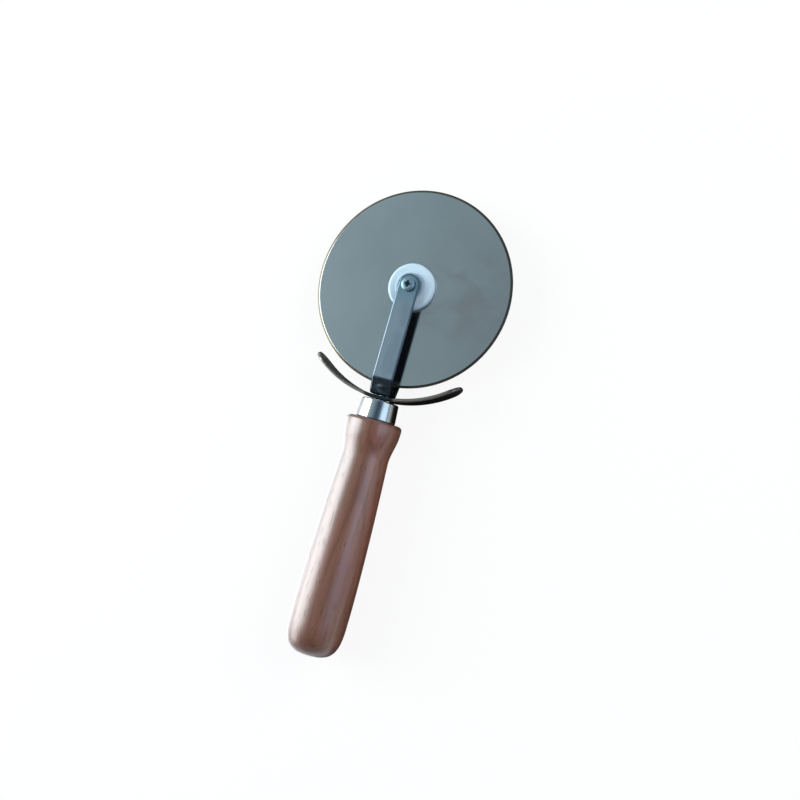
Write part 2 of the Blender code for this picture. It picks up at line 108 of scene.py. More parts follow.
class Value:
    """An output socket of a node, on which Python's arithmetic adds Math nodes."""

    def __init__(self, desk: Desk, socket: bpy.types.NodeSocket) -> None:
        """Keep an output socket and the desk whose tree holds it."""
        self.desk = desk
        self.socket = socket

    def other(self, name: str) -> Value:
        """Another output of the same node."""
        return Value(self.desk, self.desk.socket(self.socket.node.outputs, name))

    def __add__(self, other: Feed) -> Value:
        """Sum."""
        return self.desk.maths("ADD", self, other)

    def __radd__(self, other: Feed) -> Value:
        """Sum with a number first."""
        return self.desk.maths("ADD", other, self)

    def __sub__(self, other: Feed) -> Value:
        """Difference."""
        return self.desk.maths("SUBTRACT", self, other)

    def __rsub__(self, other: Feed) -> Value:
        """Difference with a number first."""
        return self.desk.maths("SUBTRACT", other, self)

    def __mul__(self, other: Feed) -> Value:
        """Product."""
        return self.desk.maths("MULTIPLY", self, other)

    def __rmul__(self, other: Feed) -> Value:
        """Product with a number first."""
        return self.desk.maths("MULTIPLY", other, self)

    def __truediv__(self, other: Feed) -> Value:
        """Quotient."""
        return self.desk.maths("DIVIDE", self, other)

    def __rtruediv__(self, other: Feed) -> Value:
        """Quotient with a number first."""
        return self.desk.maths("DIVIDE", other, self)

    def __pow__(self, other: Feed) -> Value:
        """Power."""
        return self.desk.maths("POWER", self, other)

    def __abs__(self) -> Value:
        """Size without sign."""
        return self.desk.maths("ABSOLUTE", self)


Feed = Value | float | tuple[float, ...]


class Desk:
    """The node tree of one material or world, and the ways that nodes are added to it."""

    def __init__(self, tree: bpy.types.NodeTree) -> None:
        """Take over a tree."""
        self.tree = tree
        self.material: bpy.types.Material | None = None

    @classmethod
    def of_material(cls, name: str) -> Desk:
        """Make a desk on a new material's tree.

        Args:
            name: the material's name.

        Returns:
            The desk, which keeps the material.
        """
        material = bpy.data.materials.new(name)
        material.use_nodes = True
        desk = cls(material.node_tree)
        desk.material = material
        return desk

    @staticmethod
    def socket(sockets: bpy.types.NodeInputs | bpy.types.NodeOutputs, key: str | int) -> bpy.types.NodeSocket:
        """A node's socket by its identifier, and failing that by its name or index."""
        named = (item for item in sockets if item.identifier == key)
        return next(named, None) or sockets[key]

    def add(
        self,
        kind: str,
        settings: Mapping[str, object] | None = None,
        sockets: Mapping[str | int, Feed] | None = None,
        output: str | int = 0,
    ) -> Value:
        """Add a node.

        Args:
            kind: the node's type.
            settings: its own settings, set first; "stops" are a colour ramp's.
            sockets: numbers, colours or links for its input sockets.
            output: the output socket to hand back.

        Returns:
            The chosen output.
        """
        node = self.tree.nodes.new(kind)
        for name, setting in (settings or {}).items():
            if name == "stops":
                self._set_stops(node.color_ramp, setting)
            else:
                setattr(node, name, setting)
        self.feed(node, sockets or {})
        return Value(self, self.socket(node.outputs, output))

    def feed(self, node: bpy.types.Node, sockets: Mapping[str | int, Feed]) -> None:
        """Link or set a node's input sockets.

        Args:
            node: the node.
            sockets: numbers, colours or links by socket.
        """
        for key, item in sockets.items():
            socket = self.socket(node.inputs, key)
            if isinstance(item, Value):
                self.tree.links.new(item.socket, socket)
            elif isinstance(item, tuple) and socket.type == "RGBA":
                socket.default_value = (*item, 1)
            else:
                socket.default_value = item

    @staticmethod
    def _set_stops(ramp: bpy.types.ColorRamp, stops: Sequence[tuple[float, Colour]]) -> None:
        """Give a colour ramp its stops.

        Args:
            ramp: the ramp.
            stops: positions from 0 to 1 with their colours.
        """
        while len(ramp.elements) > 1:
            ramp.elements.remove(ramp.elements[-1])
        for index, (position, colour) in enumerate(stops):
            element = ramp.elements[0] if index == 0 else ramp.elements.new(position)
            element.position = position
            element.color = (*colour, 1)

    def maths(self, operation: str, *terms: Feed) -> Value:
        """A Math node on numbers."""
        return self.add("ShaderNodeMath", {"operation": operation}, dict(enumerate(terms)))

    def vectors(self, operation: str, *terms: Feed) -> Value:
        """A Vector Math node on vectors; a result that is a number is its output named Value."""
        return self.add("ShaderNodeVectorMath", {"operation": operation}, dict(enumerate(terms)))

    def place(self, origin: Sequence[float] = (0, 0, 0)) -> Value:
        """The surface's own coordinates, measured from a point."""
        here = self.add("ShaderNodeTexCoord", output="Object")
        return self.vectors("SUBTRACT", here, tuple(origin))

    def split(self, vector: Value) -> tuple[Value, Value, Value]:
        """The three parts of a vector."""
        across = self.add("ShaderNodeSeparateXYZ", sockets={0: vector}, output="X")
        return across, across.other("Y"), across.other("Z")

    @staticmethod
    def away(x: Value, y: Value) -> Value:
        """How far a place of two numbers lies from zero."""
        return (x * x + y * y) ** 0.5

    def joined(self, x: Feed, y: Feed, z: Feed) -> Value:
        """A vector from three numbers."""
        return self.add("ShaderNodeCombineXYZ", sockets={0: x, 1: y, 2: z})

    def noise(
        self, vector: Value, stretch: Sequence[float], detail: float = 2.0, swirl: float = 0.0
    ) -> Value:
        """Cloud noise from 0 to 1.

        Args:
            vector: where it is read.
            stretch: how many clouds fit in a metre, along X, Y and Z.
            detail: finer layers.
            swirl: how far it folds on itself.

        Returns:
            The noise as a number; its output named Color is a vector of three.
        """
        where = self.vectors("MULTIPLY", vector, tuple(stretch))
        sockets = {"Vector": where, "Scale": 1.0, "Detail": detail, "Distortion": swirl}
        return self.add("ShaderNodeTexNoise", sockets=sockets)

    def step(self, value: Feed, low: float, high: float) -> Value:
        """A smooth rise from 0 at low to 1 at high, or a fall where low is above high.

        Args:
            value: the number that is read.
            low: where the result is 0.
            high: where the result is 1.

        Returns:
            The result, held between 0 and 1.
        """
        settings = {"interpolation_type": "SMOOTHSTEP", "clamp": True}
        start, end = (0.0, 1.0) if low < high else (1.0, 0.0)
        sockets = {"Value": value, "From Min": min(low, high), "From Max": max(low, high)}
        return self.add("ShaderNodeMapRange", settings, {**sockets, "To Min": start, "To Max": end})

    def mix(self, share: Feed, under: Feed, over: Feed) -> Value:
        """One colour laid over another by a share."""
        sockets = {"Factor_Float": share, "A_Color": under, "B_Color": over}
        return self.add("ShaderNodeMix", {"data_type": "RGBA"}, sockets, "Result_Color")

    def ramp(self, value: Value, *stops: tuple[float, Colour]) -> Value:
        """A colour read from a row of stops."""
        return self.add("ShaderNodeValToRGB", {"stops": stops}, {"Fac": value}, "Color")

    def bump(self, height: Value, depth: float, under: Value | None = None) -> Value:
        """A surface normal from a height between 0 and 1.

        Args:
            height: the height.
            depth: what a height of 1 stands for, in metres.
            under: the normal of a coarser bump below it.

        Returns:
            The normal.
        """
        sockets = {"Strength": 1.0, "Distance": depth, "Height": height}
        if under:
            sockets["Normal"] = under
        return self.add("ShaderNodeBump", sockets=sockets)

    def surface(self, sockets: Mapping[str, Feed]) -> bpy.types.Material:
        """Feed the material's Principled shader.

        Args:
            sockets: numbers, colours or links by socket.

        Returns:
            The material.
        """
        self.feed(self.tree.nodes["Principled BSDF"], sockets)
        return self.material

    def blend(self, share: Feed, under: Value, over: Value) -> None:
        """Show one shader laid over another by a share."""
        both = self.add("ShaderNodeMixShader", sockets={0: share, 1: under, 2: over})
        self.feed(self.tree.nodes["Material Output"], {"Surface": both})


@dataclass(frozen=True)
class WheelSteel:
    """Rolled stainless sheet with a satin sheen and a finger smear, ground and tarnished at its rim."""

    centre: Vector
    ground_radius: float
    honed_radius: float
    hub_radius: float
    steel: Colour = (0.66, 0.69, 0.68)
    cloudy: Colour = (0.62, 0.65, 0.645)
    smear: Colour = (0.53, 0.51, 0.50)
    ground: Colour = (0.22, 0.205, 0.165)
    oxide: Colour = (0.20, 0.19, 0.17)
    tarnish: Colour = (0.110, 0.096, 0.062)
    smear_place: tuple[float, float, float] = (0.024, 0.001, 0.0)
    smear_reach: float = 0.034
    worn_width: float = 0.0012
    ground_blur: float = 0.0001
    honed_blur: float = 0.00008
    lines_round: float = 5.0
    lines_across: float = 7000.0
    sheet_roughness: float = 0.105
    ground_roughness: float = 0.20
    wave_depth: float = 0.00018
    hair_depth: float = 0.0000016

    def material(self) -> bpy.types.Material:
        """Make the finish.

        Returns:
            The material.
        """
        desk = Desk.of_material("rolled_stainless")
        place = desk.place(self.centre)
        x, y, _ = desk.split(place)
        radius = desk.away(x, y)
        clouds = desk.noise(place, (34, 34, 34), 4)
        rolling = desk.noise(place, (2600, 70, 70), 2)
        ringed = desk.joined(
            x / radius * self.lines_round, y / radius * self.lines_round, radius * self.lines_across
        )
        lines = desk.noise(ringed, (1, 1, 1), 2)
        from_smear = desk.vectors("SUBTRACT", place, self.smear_place)
        distance = desk.vectors("LENGTH", from_smear).other("Value")
        marks = desk.step(desk.noise(place, (52, 70, 52), 2, 0.6), 0.36, 0.72)
        smear = marks * desk.step(distance, self.smear_reach, self.smear_reach / 3)
        blur = self.ground_blur
        bevel = desk.step(radius, self.ground_radius - blur, self.ground_radius + blur)
        worn = desk.step(radius, self.hub_radius + self.worn_width, self.hub_radius)
        worn = worn * desk.step(clouds, 0.3, 0.6)
        sheet = desk.mix(desk.step(clouds, 0.35, 0.65), self.steel, self.cloudy)
        sheet = desk.mix(smear * 0.8, sheet, self.smear)
        sheet = desk.mix(worn * 0.5, sheet, self.oxide)
        rim = desk.mix(desk.step(lines, 0.35, 0.65) * 0.15, self.ground, self.steel)
        blur = self.honed_blur
        honed = desk.step(radius, self.honed_radius - blur, self.honed_radius + blur)
        rim = desk.mix(honed * (0.75 + 0.25 * clouds), rim, self.tarnish)
        smooth = self.sheet_roughness + clouds * 0.03 + smear * 0.05 + rolling * 0.02
        rough = self.ground_roughness + lines * 0.10 + honed * 0.25
        wave = desk.bump(desk.noise(place, (15, 15, 15), 1), self.wave_depth)
        hairs = rolling * (1 - bevel) + lines * bevel * 1.6
        return desk.surface(
            {
                "Base Color": desk.mix(bevel, sheet, rim),
                "Metallic": 1.0,
                "Roughness": smooth * (1 - bevel) + bevel * rough,
                "Normal": desk.bump(hairs, self.hair_depth, wave),
            }
        )


class Grain(Enum):
    """How the drawn lines of a strap run."""

    STRAIGHT = "along the tool"
    ROUND = "round the axle"


@dataclass(frozen=True)
class StrapSteel:
    """Drawn strap steel: soft lines along the strap, darker blotches, small bright nicks, rolled edges.

    What only one strap has is left out by default: painted shade on the edge of the left end, painted shade
    on the edge at the joint, a painted bluer reflection at the tip, and painted shade inside the fork and
    below its bends.
    """

    name: str
    centre: Vector
    grain: Grain
    steel: Colour = (0.49, 0.575, 0.645)
    dull: Colour = (0.41, 0.485, 0.55)
    bright: Colour = (0.56, 0.62, 0.66)
    edge: Colour = (0.036, 0.054, 0.076)
    edge_roughness: float = 0.40
    edge_at: float = 0.00472
    edge_blur: float = 0.00018
    sheared_span: Span = (0.0, 0.003)
    sheared_share: float = 0.4
    # Painted shade on the left end's edge, where the window would reflect.
    left_end_shade: Colour | None = None
    left_end_span: Span = (-0.006, -0.026)
    # Painted shade on the edge where it passes in front of the ferrule.
    joint_shade: Colour | None = None
    joint_shade_left: Span = (-0.0085, -0.0060)
    joint_shade_right: Span = (0.0092, 0.0068)
    # Painted reflection: a bluer tone at the tip.
    tip: Colour | None = None
    tip_span: Span = (-0.013, -0.001)
    # Painted shade: a near-black tone inside the fork, and half of it below the bends.
    painted_shade: Colour = (0.012, 0.020, 0.035)
    shade_within: float | None = None
    shade_above: float = -0.0470
    shade_blur: Span = (0.0005, 0.0001)
    arm_blur: float = 0.001
    bend_blur: Span = (0.0004, 0.0002)
    base_roughness: float = 0.15
    round_radius: float = 0.054
    line_depth: float = 0.0000035
    blotch_depth: float = 0.00003

    def material(self) -> bpy.types.Material:
        """Make the finish.

        Returns:
            The material.
        """
        desk = Desk.of_material(self.name)
        place = desk.place(self.centre)
        x, y, z = desk.split(place)
        if self.grain is Grain.ROUND:
            radius = desk.away(x, y)
            laid = desk.joined(z, desk.maths("ARCTAN2", x, y) * self.round_radius, radius)
            aside = abs(z)
            sheared = 1.0
        else:
            laid = place
            beyond = desk.maths("MAXIMUM", y, 0.0)
            aside = desk.away(x, beyond)
            sheared = 1 - self.sheared_share * desk.step(x, *self.sheared_span)
        drawn = desk.noise(laid, (1500, 34, 1500), 3)
        bands = desk.noise(laid, (420, 12, 420), 2)
        blotch = desk.noise(place, (120, 90, 120), 4, 0.4)
        nicks = desk.step(desk.noise(place, (900, 700, 900), 1), 0.72, 0.78)
        tone = desk.mix(desk.step(blotch, 0.40, 0.68), self.steel, self.dull)
        tone = desk.mix(desk.step(bands, 0.50, 0.72) * 0.35, tone, self.bright)
        tone = desk.mix(nicks * 0.5, tone, self.bright)
        # Painted reflection: the tip is tinted bluer, as a bluer reflection would show.
        if self.tip:
            tone = desk.mix(desk.step(y, *self.tip_span) * 0.8, tone, self.tip)
        rolled = desk.step(aside, self.edge_at, self.edge_at + self.edge_blur) * sheared
        edge = self.edge
        metallic = 1.0
        # Painted shade: the left end's edge is toned down against the window's reflection, and its faces are
        # made less metal, which lightens them.
        if self.left_end_shade:
            left_end = desk.step(x, *self.left_end_span)
            edge = desk.mix(left_end, edge, self.left_end_shade)
            metallic = 1 - left_end * (1 - rolled) * 0.35
        # Painted shade: the edge is darkened where it passes in front of the ferrule.
        if self.joint_shade:
            joint_shaded = desk.step(x, *self.joint_shade_left) * desk.step(x, *self.joint_shade_right)
            edge = desk.mix(joint_shaded, edge, self.joint_shade)
        tone = desk.mix(rolled, tone, edge)
        # Painted shade: the faces inside the fork go near black, and below the bends the strap is half
        # darkened.
        if self.shade_within:
            outer, inner = (self.shade_within + blur for blur in self.shade_blur)
            inside = desk.step(abs(z), outer, inner)
            inside = inside * desk.step(y, self.shade_above, self.shade_above + self.arm_blur)
            tone = desk.mix(inside * (0.85 + 0.15 * blotch), tone, self.painted_shade)
            over, under = self.bend_blur
            bend = desk.step(y, self.shade_above + over, self.shade_above - under)
            tone = desk.mix(bend * 0.50, tone, self.painted_shade)
        roughness = self.base_roughness + blotch * 0.08 + drawn * 0.05
        height = drawn * 0.7 + bands * 0.6 - nicks * 0.5
        return desk.surface(
            {
                "Base Color": tone,
                "Metallic": metallic,
                "Roughness": roughness * (1 - rolled) + self.edge_roughness * rolled,
                "Normal": desk.bump(height, self.line_depth, desk.bump(blotch, self.blotch_depth)),
            }
        )


@dataclass(frozen=True)
class PlatedSteel:
    """Zinc plate on a fastener, cloudy, with turning lines, and a soiled, painted-shade darkening where it
    lies deep.
    """

    name: str
    centre: Vector
    zinc: Colour = (0.46, 0.56, 0.63)
    cloudy: Colour = (0.36, 0.45, 0.52)
    grime_and_shade: Colour = (0.004, 0.010, 0.016)
    metallic: float = 1.0
    base_roughness: float = 0.24
    deep: Span | None = None
    deep_radii: Span = (0.0026, 0.0017)
    lines_round: float = 90.0
    lines_across: float = 9000.0
    line_depth: float = 0.000003

    def material(self) -> bpy.types.Material:
        """Make the finish.

        Returns:
            The material.
        """
        desk = Desk.of_material(self.name)
        place = desk.place(self.centre)
        x, y, z = desk.split(place)
        clouds = desk.noise(place, (420, 420, 420), 4)
        radius = desk.away(x, y)
        ringed = desk.joined(x * self.lines_round, y * self.lines_round, radius * self.lines_across)
        turning = desk.noise(ringed, (1, 1, 1), 1)
        tone = desk.mix(desk.step(clouds, 0.38, 0.64), self.zinc, self.cloudy)
        roughness = self.base_roughness + clouds * 0.12
        # Painted shade, with some soiling: the recess goes near black.
        if self.deep:
            sunk = desk.step(z, *self.deep) * desk.step(radius, *self.deep_radii)
            dirt_and_shade = sunk * (0.6 + 0.4 * clouds)
            tone = desk.mix(dirt_and_shade, tone, self.grime_and_shade)
            roughness = roughness + dirt_and_shade * 0.4
        height = turning * 0.8 + clouds * 0.8
        return desk.surface(
            {
                "Base Color": tone,
                "Metallic": self.metallic,
                "Roughness": roughness,
                "Normal": desk.bump(height, self.line_depth),
            }
        )


@dataclass(frozen=True)
class NickelPlate:
    """Polished plate on the ferrule: fine buffing lines round it, small dings and a soiled ring at the wood.
    """

    centre: Vector
    foot: float
    nickel: Colour = (0.70, 0.72, 0.72)
    hazy: Colour = (0.60, 0.63, 0.64)
    grime_and_shade: Colour = (0.06, 0.045, 0.035)
    grime_rise: Span = (0.0008, 0.0001)
    base_roughness: float = 0.07
    wobble_depth: float = 0.00005
    line_depth: float = 0.0000022

    def material(self) -> bpy.types.Material:
        """Make the finish.

        Returns:
            The material.
        """
        desk = Desk.of_material("polished_nickel")
        place = desk.place(self.centre)
        _, y, _ = desk.split(place)
        haze = desk.noise(place, (160, 160, 160), 4)
        buffing = desk.noise(place, (60, 5200, 60), 2)
        dings = desk.step(desk.noise(place, (300, 260, 300), 1), 0.70, 0.82)
        clean, dirty = (self.foot + rise for rise in self.grime_rise)
        dirt_and_shade = desk.step(y, clean, dirty) * desk.step(haze, 0.30, 0.62)
        tone = desk.mix(desk.step(haze, 0.42, 0.70), self.nickel, self.hazy)
        height = buffing * 0.6 - dings * 1.5
        wobble = desk.bump(desk.noise(place, (95, 60, 95), 1), self.wobble_depth)
        return desk.surface(
            {
                "Base Color": desk.mix(dirt_and_shade * 0.8, tone, self.grime_and_shade),
                "Metallic": 1.0,
                "Roughness": self.base_roughness + haze * 0.06 + dirt_and_shade * 0.4 + buffing * 0.02,
                "Normal": desk.bump(height, self.line_depth, wobble),
            }
        )


@dataclass(frozen=True)
class MouldedNylon:
    """Milky nylon: cloudy flow lines, a scuffed face and a little grey in a ring round the washer."""

    centre: Vector
    washer_radius: float
    milk: Colour = (0.555, 0.69, 0.765)
    cloudy: Colour = (0.50, 0.65, 0.75)
    scuff: Colour = (0.38, 0.48, 0.54)
    washer_ring_spans: Span = (0.0022, 0.0006)
    flow_round: float = 70.0
    flow_across: float = 500.0
    scratches_round: float = 9.0
    scratches_across: float = 5200.0
    base_roughness: float = 0.34
    relief_depth: float = 0.000012

    def material(self) -> bpy.types.Material:
        """Make the finish.

        Returns:
            The material.
        """
        desk = Desk.of_material("moulded_nylon")
        place = desk.place(self.centre)
        x, y, _ = desk.split(place)
        radius = desk.away(x, y)
        flowing = desk.joined(x * self.flow_round, y * self.flow_round, radius * self.flow_across)
        flow = desk.noise(flowing, (1, 1, 1), 3, 0.6)
        specks = desk.step(desk.noise(place, (1100, 1100, 1100), 1), 0.74, 0.80)
        across, up = x / radius * self.scratches_round, y / radius * self.scratches_round
        ringed = desk.joined(across, up, radius * self.scratches_across)
        scratches = desk.step(desk.noise(ringed, (1, 1, 1), 1), 0.60, 0.78)
        # A little grey in a ring round the washer.
        clean, ring_inner = (self.washer_radius + span for span in self.washer_ring_spans)
        washer_ring = desk.step(radius, clean, ring_inner)
        tone = desk.mix(desk.step(flow, 0.35, 0.68), self.milk, self.cloudy)
        tone = desk.mix(washer_ring * 0.2 * (0.5 + 0.5 * flow) + specks * 0.35, tone, self.scuff)
        height = flow * 0.8 - scratches * 0.35 - specks * 0.5
        return desk.surface(
            {
                "Base Color": tone,
                "Roughness": self.base_roughness + flow * 0.12 + scratches * 0.08,
                "Subsurface Weight": 0.35,
                "Subsurface Radius": (0.8, 0.9, 1.0),
                "Subsurface Scale": 0.0012,
                "Normal": desk.bump(height, self.relief_depth),
            }
        )


@dataclass(frozen=True)
class StainedWood:
    """Red-brown stained hardwood under satin lacquer, with its grain as a solid figure."""

    centre: Vector
    dark: Colour = (0.108, 0.040, 0.019)
    middle: Colour = (0.188, 0.078, 0.042)
    light: Colour = (0.262, 0.121, 0.071)
    red: Colour = (0.240, 0.080, 0.050)
    pore: Colour = (0.045, 0.018, 0.012)
    # Darker at both ends: end grain, and painted shade on the butt.
    end_grain_and_shade: Colour = (0.085, 0.026, 0.016)
    butt_station: float = -0.1172
    shoulder_depth: float = 0.0030
    butt_depth: float = 0.0110
    pith: Span = (-0.036, -0.058)
    ring_pitch: float = 0.0026
    sway: float = 0.010
    base_roughness: float = 0.32
    grain_depth: float = 0.000014

    def material(self) -> bpy.types.Material:
        """Make the finish.

        Returns:
            The material.
        """
        desk = Desk.of_material("stained_wood")
        place = desk.place(self.centre)
        sway = desk.noise(place, (26, 7, 26), 2).other("Color")
        bent = desk.vectors("MULTIPLY_ADD", sway, (self.sway, 0.0, self.sway), place)
        x, _, z = desk.split(bent)
        from_pith = ((x - self.pith[0]) ** 2 + (z - self.pith[1]) ** 2) ** 0.5
        phase = desk.maths("FRACT", from_pith / self.ring_pitch)
        late = desk.step(phase, 0.35, 0.92) * desk.step(phase, 1.0, 0.94)
        streaks = desk.noise(bent, (210, 7, 210), 3)
        fibres = desk.noise(bent, (800, 26, 800), 3)
        patches = desk.noise(bent, (70, 20, 70), 2)
        fine_pores = desk.step(desk.noise(bent, (2100, 130, 2100), 1), 0.63, 0.74)
        long_pores = desk.step(desk.noise(bent, (1700, 150, 1700), 0), 0.70, 0.80)
        mottle = streaks * 0.55 + fibres * 0.45
        tone = desk.ramp(mottle, (0.32, self.dark), (0.50, self.middle), (0.68, self.light))
        tone = desk.mix(desk.step(patches, 0.44, 0.68) * 0.55, tone, self.red)
        tone = desk.mix(late * 0.42, tone, self.dark)
        _, along, _ = desk.split(place)
        # Darker at both ends: end grain takes more stain, and on the butt it is painted shade too.
        at_butt = desk.step(along, self.butt_station + self.butt_depth, self.butt_station)
        at_shoulder = desk.step(along, -self.shoulder_depth, 0.0)
        tone = desk.mix(desk.maths("MAXIMUM", at_butt, at_shoulder) * 0.6, tone, self.end_grain_and_shade)
        tone = desk.mix(fine_pores * 0.35, tone, self.pore)
        tone = desk.mix(long_pores * 0.5, tone, self.pore)
        turned = desk.noise(place, (8, 2400, 8), 1)
        height = fibres * 0.5 + turned * 0.25 - fine_pores * 0.8 - long_pores * 1.2
        return desk.surface(
            {
                "Base Color": tone,
                "Roughness": self.base_roughness + fibres * 0.06 + long_pores * 0.2,
                "Specular IOR Level": 0.55,
                "Coat Weight": 1 - long_pores * 0.5,
                "Coat Roughness": 0.35,
                "Coat IOR": 1.72,
                "Normal": desk.bump(height, self.grain_depth),
            }
        )


@dataclass(frozen=True)
class Corner:
    """A corner of an outline, rounded where its rounding is above zero."""

    out: float
    up: float
    rounding: float = 0.0


def outline_through(corners: Sequence[Corner], ring: bool, steps: int = 6) -> list[Vector]:
    """Draw an outline through corners, with each rounding as an arc.

    Args:
        corners: the corners in order.
        ring: whether the outline closes on itself.
        steps: straight pieces in an arc.

    Returns:
        The outline's points as (out, up).
    """
    points = [Vector((corner.out, corner.up)) for corner in corners]
    outline = []
    for index, corner in enumerate(corners):
        here = points[index]
        if not corner.rounding or (not ring and index in (0, len(corners) - 1)):
            outline.append(here)
            continue
        back = points[index - 1] - here
        ahead = points[(index + 1) % len(points)] - here
        half_angle = back.angle(ahead) / 2
        reach = min(corner.rounding / math.tan(half_angle), back.length / 2, ahead.length / 2)
        middle = (back.normalized() + ahead.normalized()).normalized()
        centre = here + middle * (reach / math.cos(half_angle))
        start = here + back.normalized() * reach - centre
        sweep = start.angle_signed(here + ahead.normalized() * reach - centre)
        for step in range(steps + 1):
            outline.append(centre + Matrix.Rotation(-sweep * step / steps, 2) @ start)
    return outline


def skin(name: str, rings: Sequence[Sequence[Vector]], closed: bool) -> bpy.types.Object:
    """Join rings of points, each as long as the next, with quads.

    Args:
        name: the new object's name.
        rings: the rings in order.
        closed: whether the last ring joins the first.

    Returns:
        The new object.
    """
    shape = bmesh.new()
    rows = [[shape.verts.new(point) for point in ring] for ring in rings]
    following = rows[1:] + rows[:1] if closed else rows[1:]
    for low, high in zip(rows, following):
        for index in range(len(low)):
            after = (index + 1) % len(low)
            shape.faces.new((low[index], low[after], high[after], high[index]))
    bmesh.ops.remove_doubles(shape, verts=shape.verts, dist=MERGE_DISTANCE)
    bmesh.ops.dissolve_degenerate(shape, edges=shape.edges, dist=MERGE_DISTANCE)
    bmesh.ops.recalc_face_normals(shape, faces=shape.faces)
    mesh = bpy.data.meshes.new(name)
    shape.to_mesh(mesh)
    shape.free()
    piece = bpy.data.objects.new(name, mesh)
    bpy.context.scene.collection.objects.link(piece)
    return piece


def cut(piece: bpy.types.Object, tool: bpy.types.Object) -> None:
    """Take a tool's shape out of a piece, and remove the tool.

    Args:
        piece: the piece, whose mesh is replaced.
        tool: a closed shape.
    """
    modifier = piece.modifiers.new("cut", "BOOLEAN")
    modifier.operation = "DIFFERENCE"
    modifier.solver = "EXACT"
    modifier.object = tool
    shaped = piece.evaluated_get(bpy.context.evaluated_depsgraph_get())
    mesh = bpy.data.meshes.new_from_object(shaped)
    piece.modifiers.remove(modifier)
    piece.data = mesh
    bpy.data.objects.remove(tool, do_unlink=True)


def dress(
    piece: bpy.types.Object,
    material: bpy.types.Material,
    body: Body,
    slot: Slot,
    stands_for: str,
) -> None:
    """Finish a piece that stands for a node of the frame.

    Args:
        piece: the piece, in place.
        material: its finish.
        body: the body it rides on.
        slot: the material slot; not used.
        stands_for: the node it replaces.
    """
    piece.data.shade_smooth()
    piece.data.set_sharp_from_angle(angle=SHARP_ANGLE)
    weighted = piece.modifiers.new("weighted", "WEIGHTED_NORMAL")
    weighted.keep_sharp = True
    piece.data.materials.clear()
    piece.data.materials.append(material)
    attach(piece, body.value)
    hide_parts(stands_for)
    LOG.info("%s: %d faces, rides on %s", piece.name, len(piece.data.polygons), body.value)


@dataclass(frozen=True)
class Lathe:
    """Turns outlines of (radius, height) about an axis through a point."""

    origin: Vector
    axis: Axis
    sides: int = 128

    def spot(self, radius: float, angle: float, height: float) -> Vector:
        """Find a turned point in the frame.

        Args:
            radius: its distance from the axis.
            angle: its angle about the axis.
            height: its height along the axis.

        Returns:
            The point.
        """
        if self.axis is Axis.AXLE:
            return self.origin + Vector((radius * math.cos(angle), radius * math.sin(angle), height))
        return self.origin + Vector((radius * math.cos(angle), height, -radius * math.sin(angle)))

    def turn(
        self,
        name: str,
        outline: Sequence[Vector],
        closed: bool,
        relief: Callable[[float, float], float] | None = None,
    ) -> bpy.types.Object:
        """Turn an outline.

        Args:
            name: the new object's name.
            outline: points of (radius, height).
            closed: whether the outline closes on itself, as round a bore.
            relief: how far the surface stands proud at an angle and height.

        Returns:
            The new object.
        """
        rings = []
        for radius, height in outline:
            ring = []
            for side in range(self.sides):
                angle = math.tau * side / self.sides
                proud = relief(angle, height) if relief and radius > POLE_RADIUS else 0
                ring.append(self.spot(radius + proud, angle, height))
            rings.append(ring)
        return skin(name, rings, closed)

    def drill(self, piece: bpy.types.Object, radius: float, low: float, high: float) -> None:
        """Drill a round hole along the axis, from one height to another."""
        outline = [Vector((0, low)), Vector((radius, low)), Vector((radius, high)), Vector((0, high))]
        cut(piece, self.turn("drill", outline, closed=False))


@dataclass(frozen=True)
class Places:
    """Places and sizes that pieces share, read from the frame."""

    axle: Vector
    wheel_radius: float
    wheel_half: float
    shoulder: float
    gap: float = 0.0003

    @classmethod
    def from_frame(cls) -> Places:
        """Read the frame's boxes.

        Returns:
            The places.
        """
        low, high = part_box("cutting_wheel")
        ferrule_low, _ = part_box("ferrule")
        return cls(
            axle=(low + high) / 2,
            wheel_radius=(high.x - low.x) / 2,
            wheel_half=(high.z - low.z) / 2,
            shoulder=ferrule_low.y - cls.gap,
        )

    @property
    def tool_axis(self) -> Vector:
        """The point of the handle's axis at the wood's shoulder."""
        return Vector((self.axle.x, self.shoulder, self.axle.z))


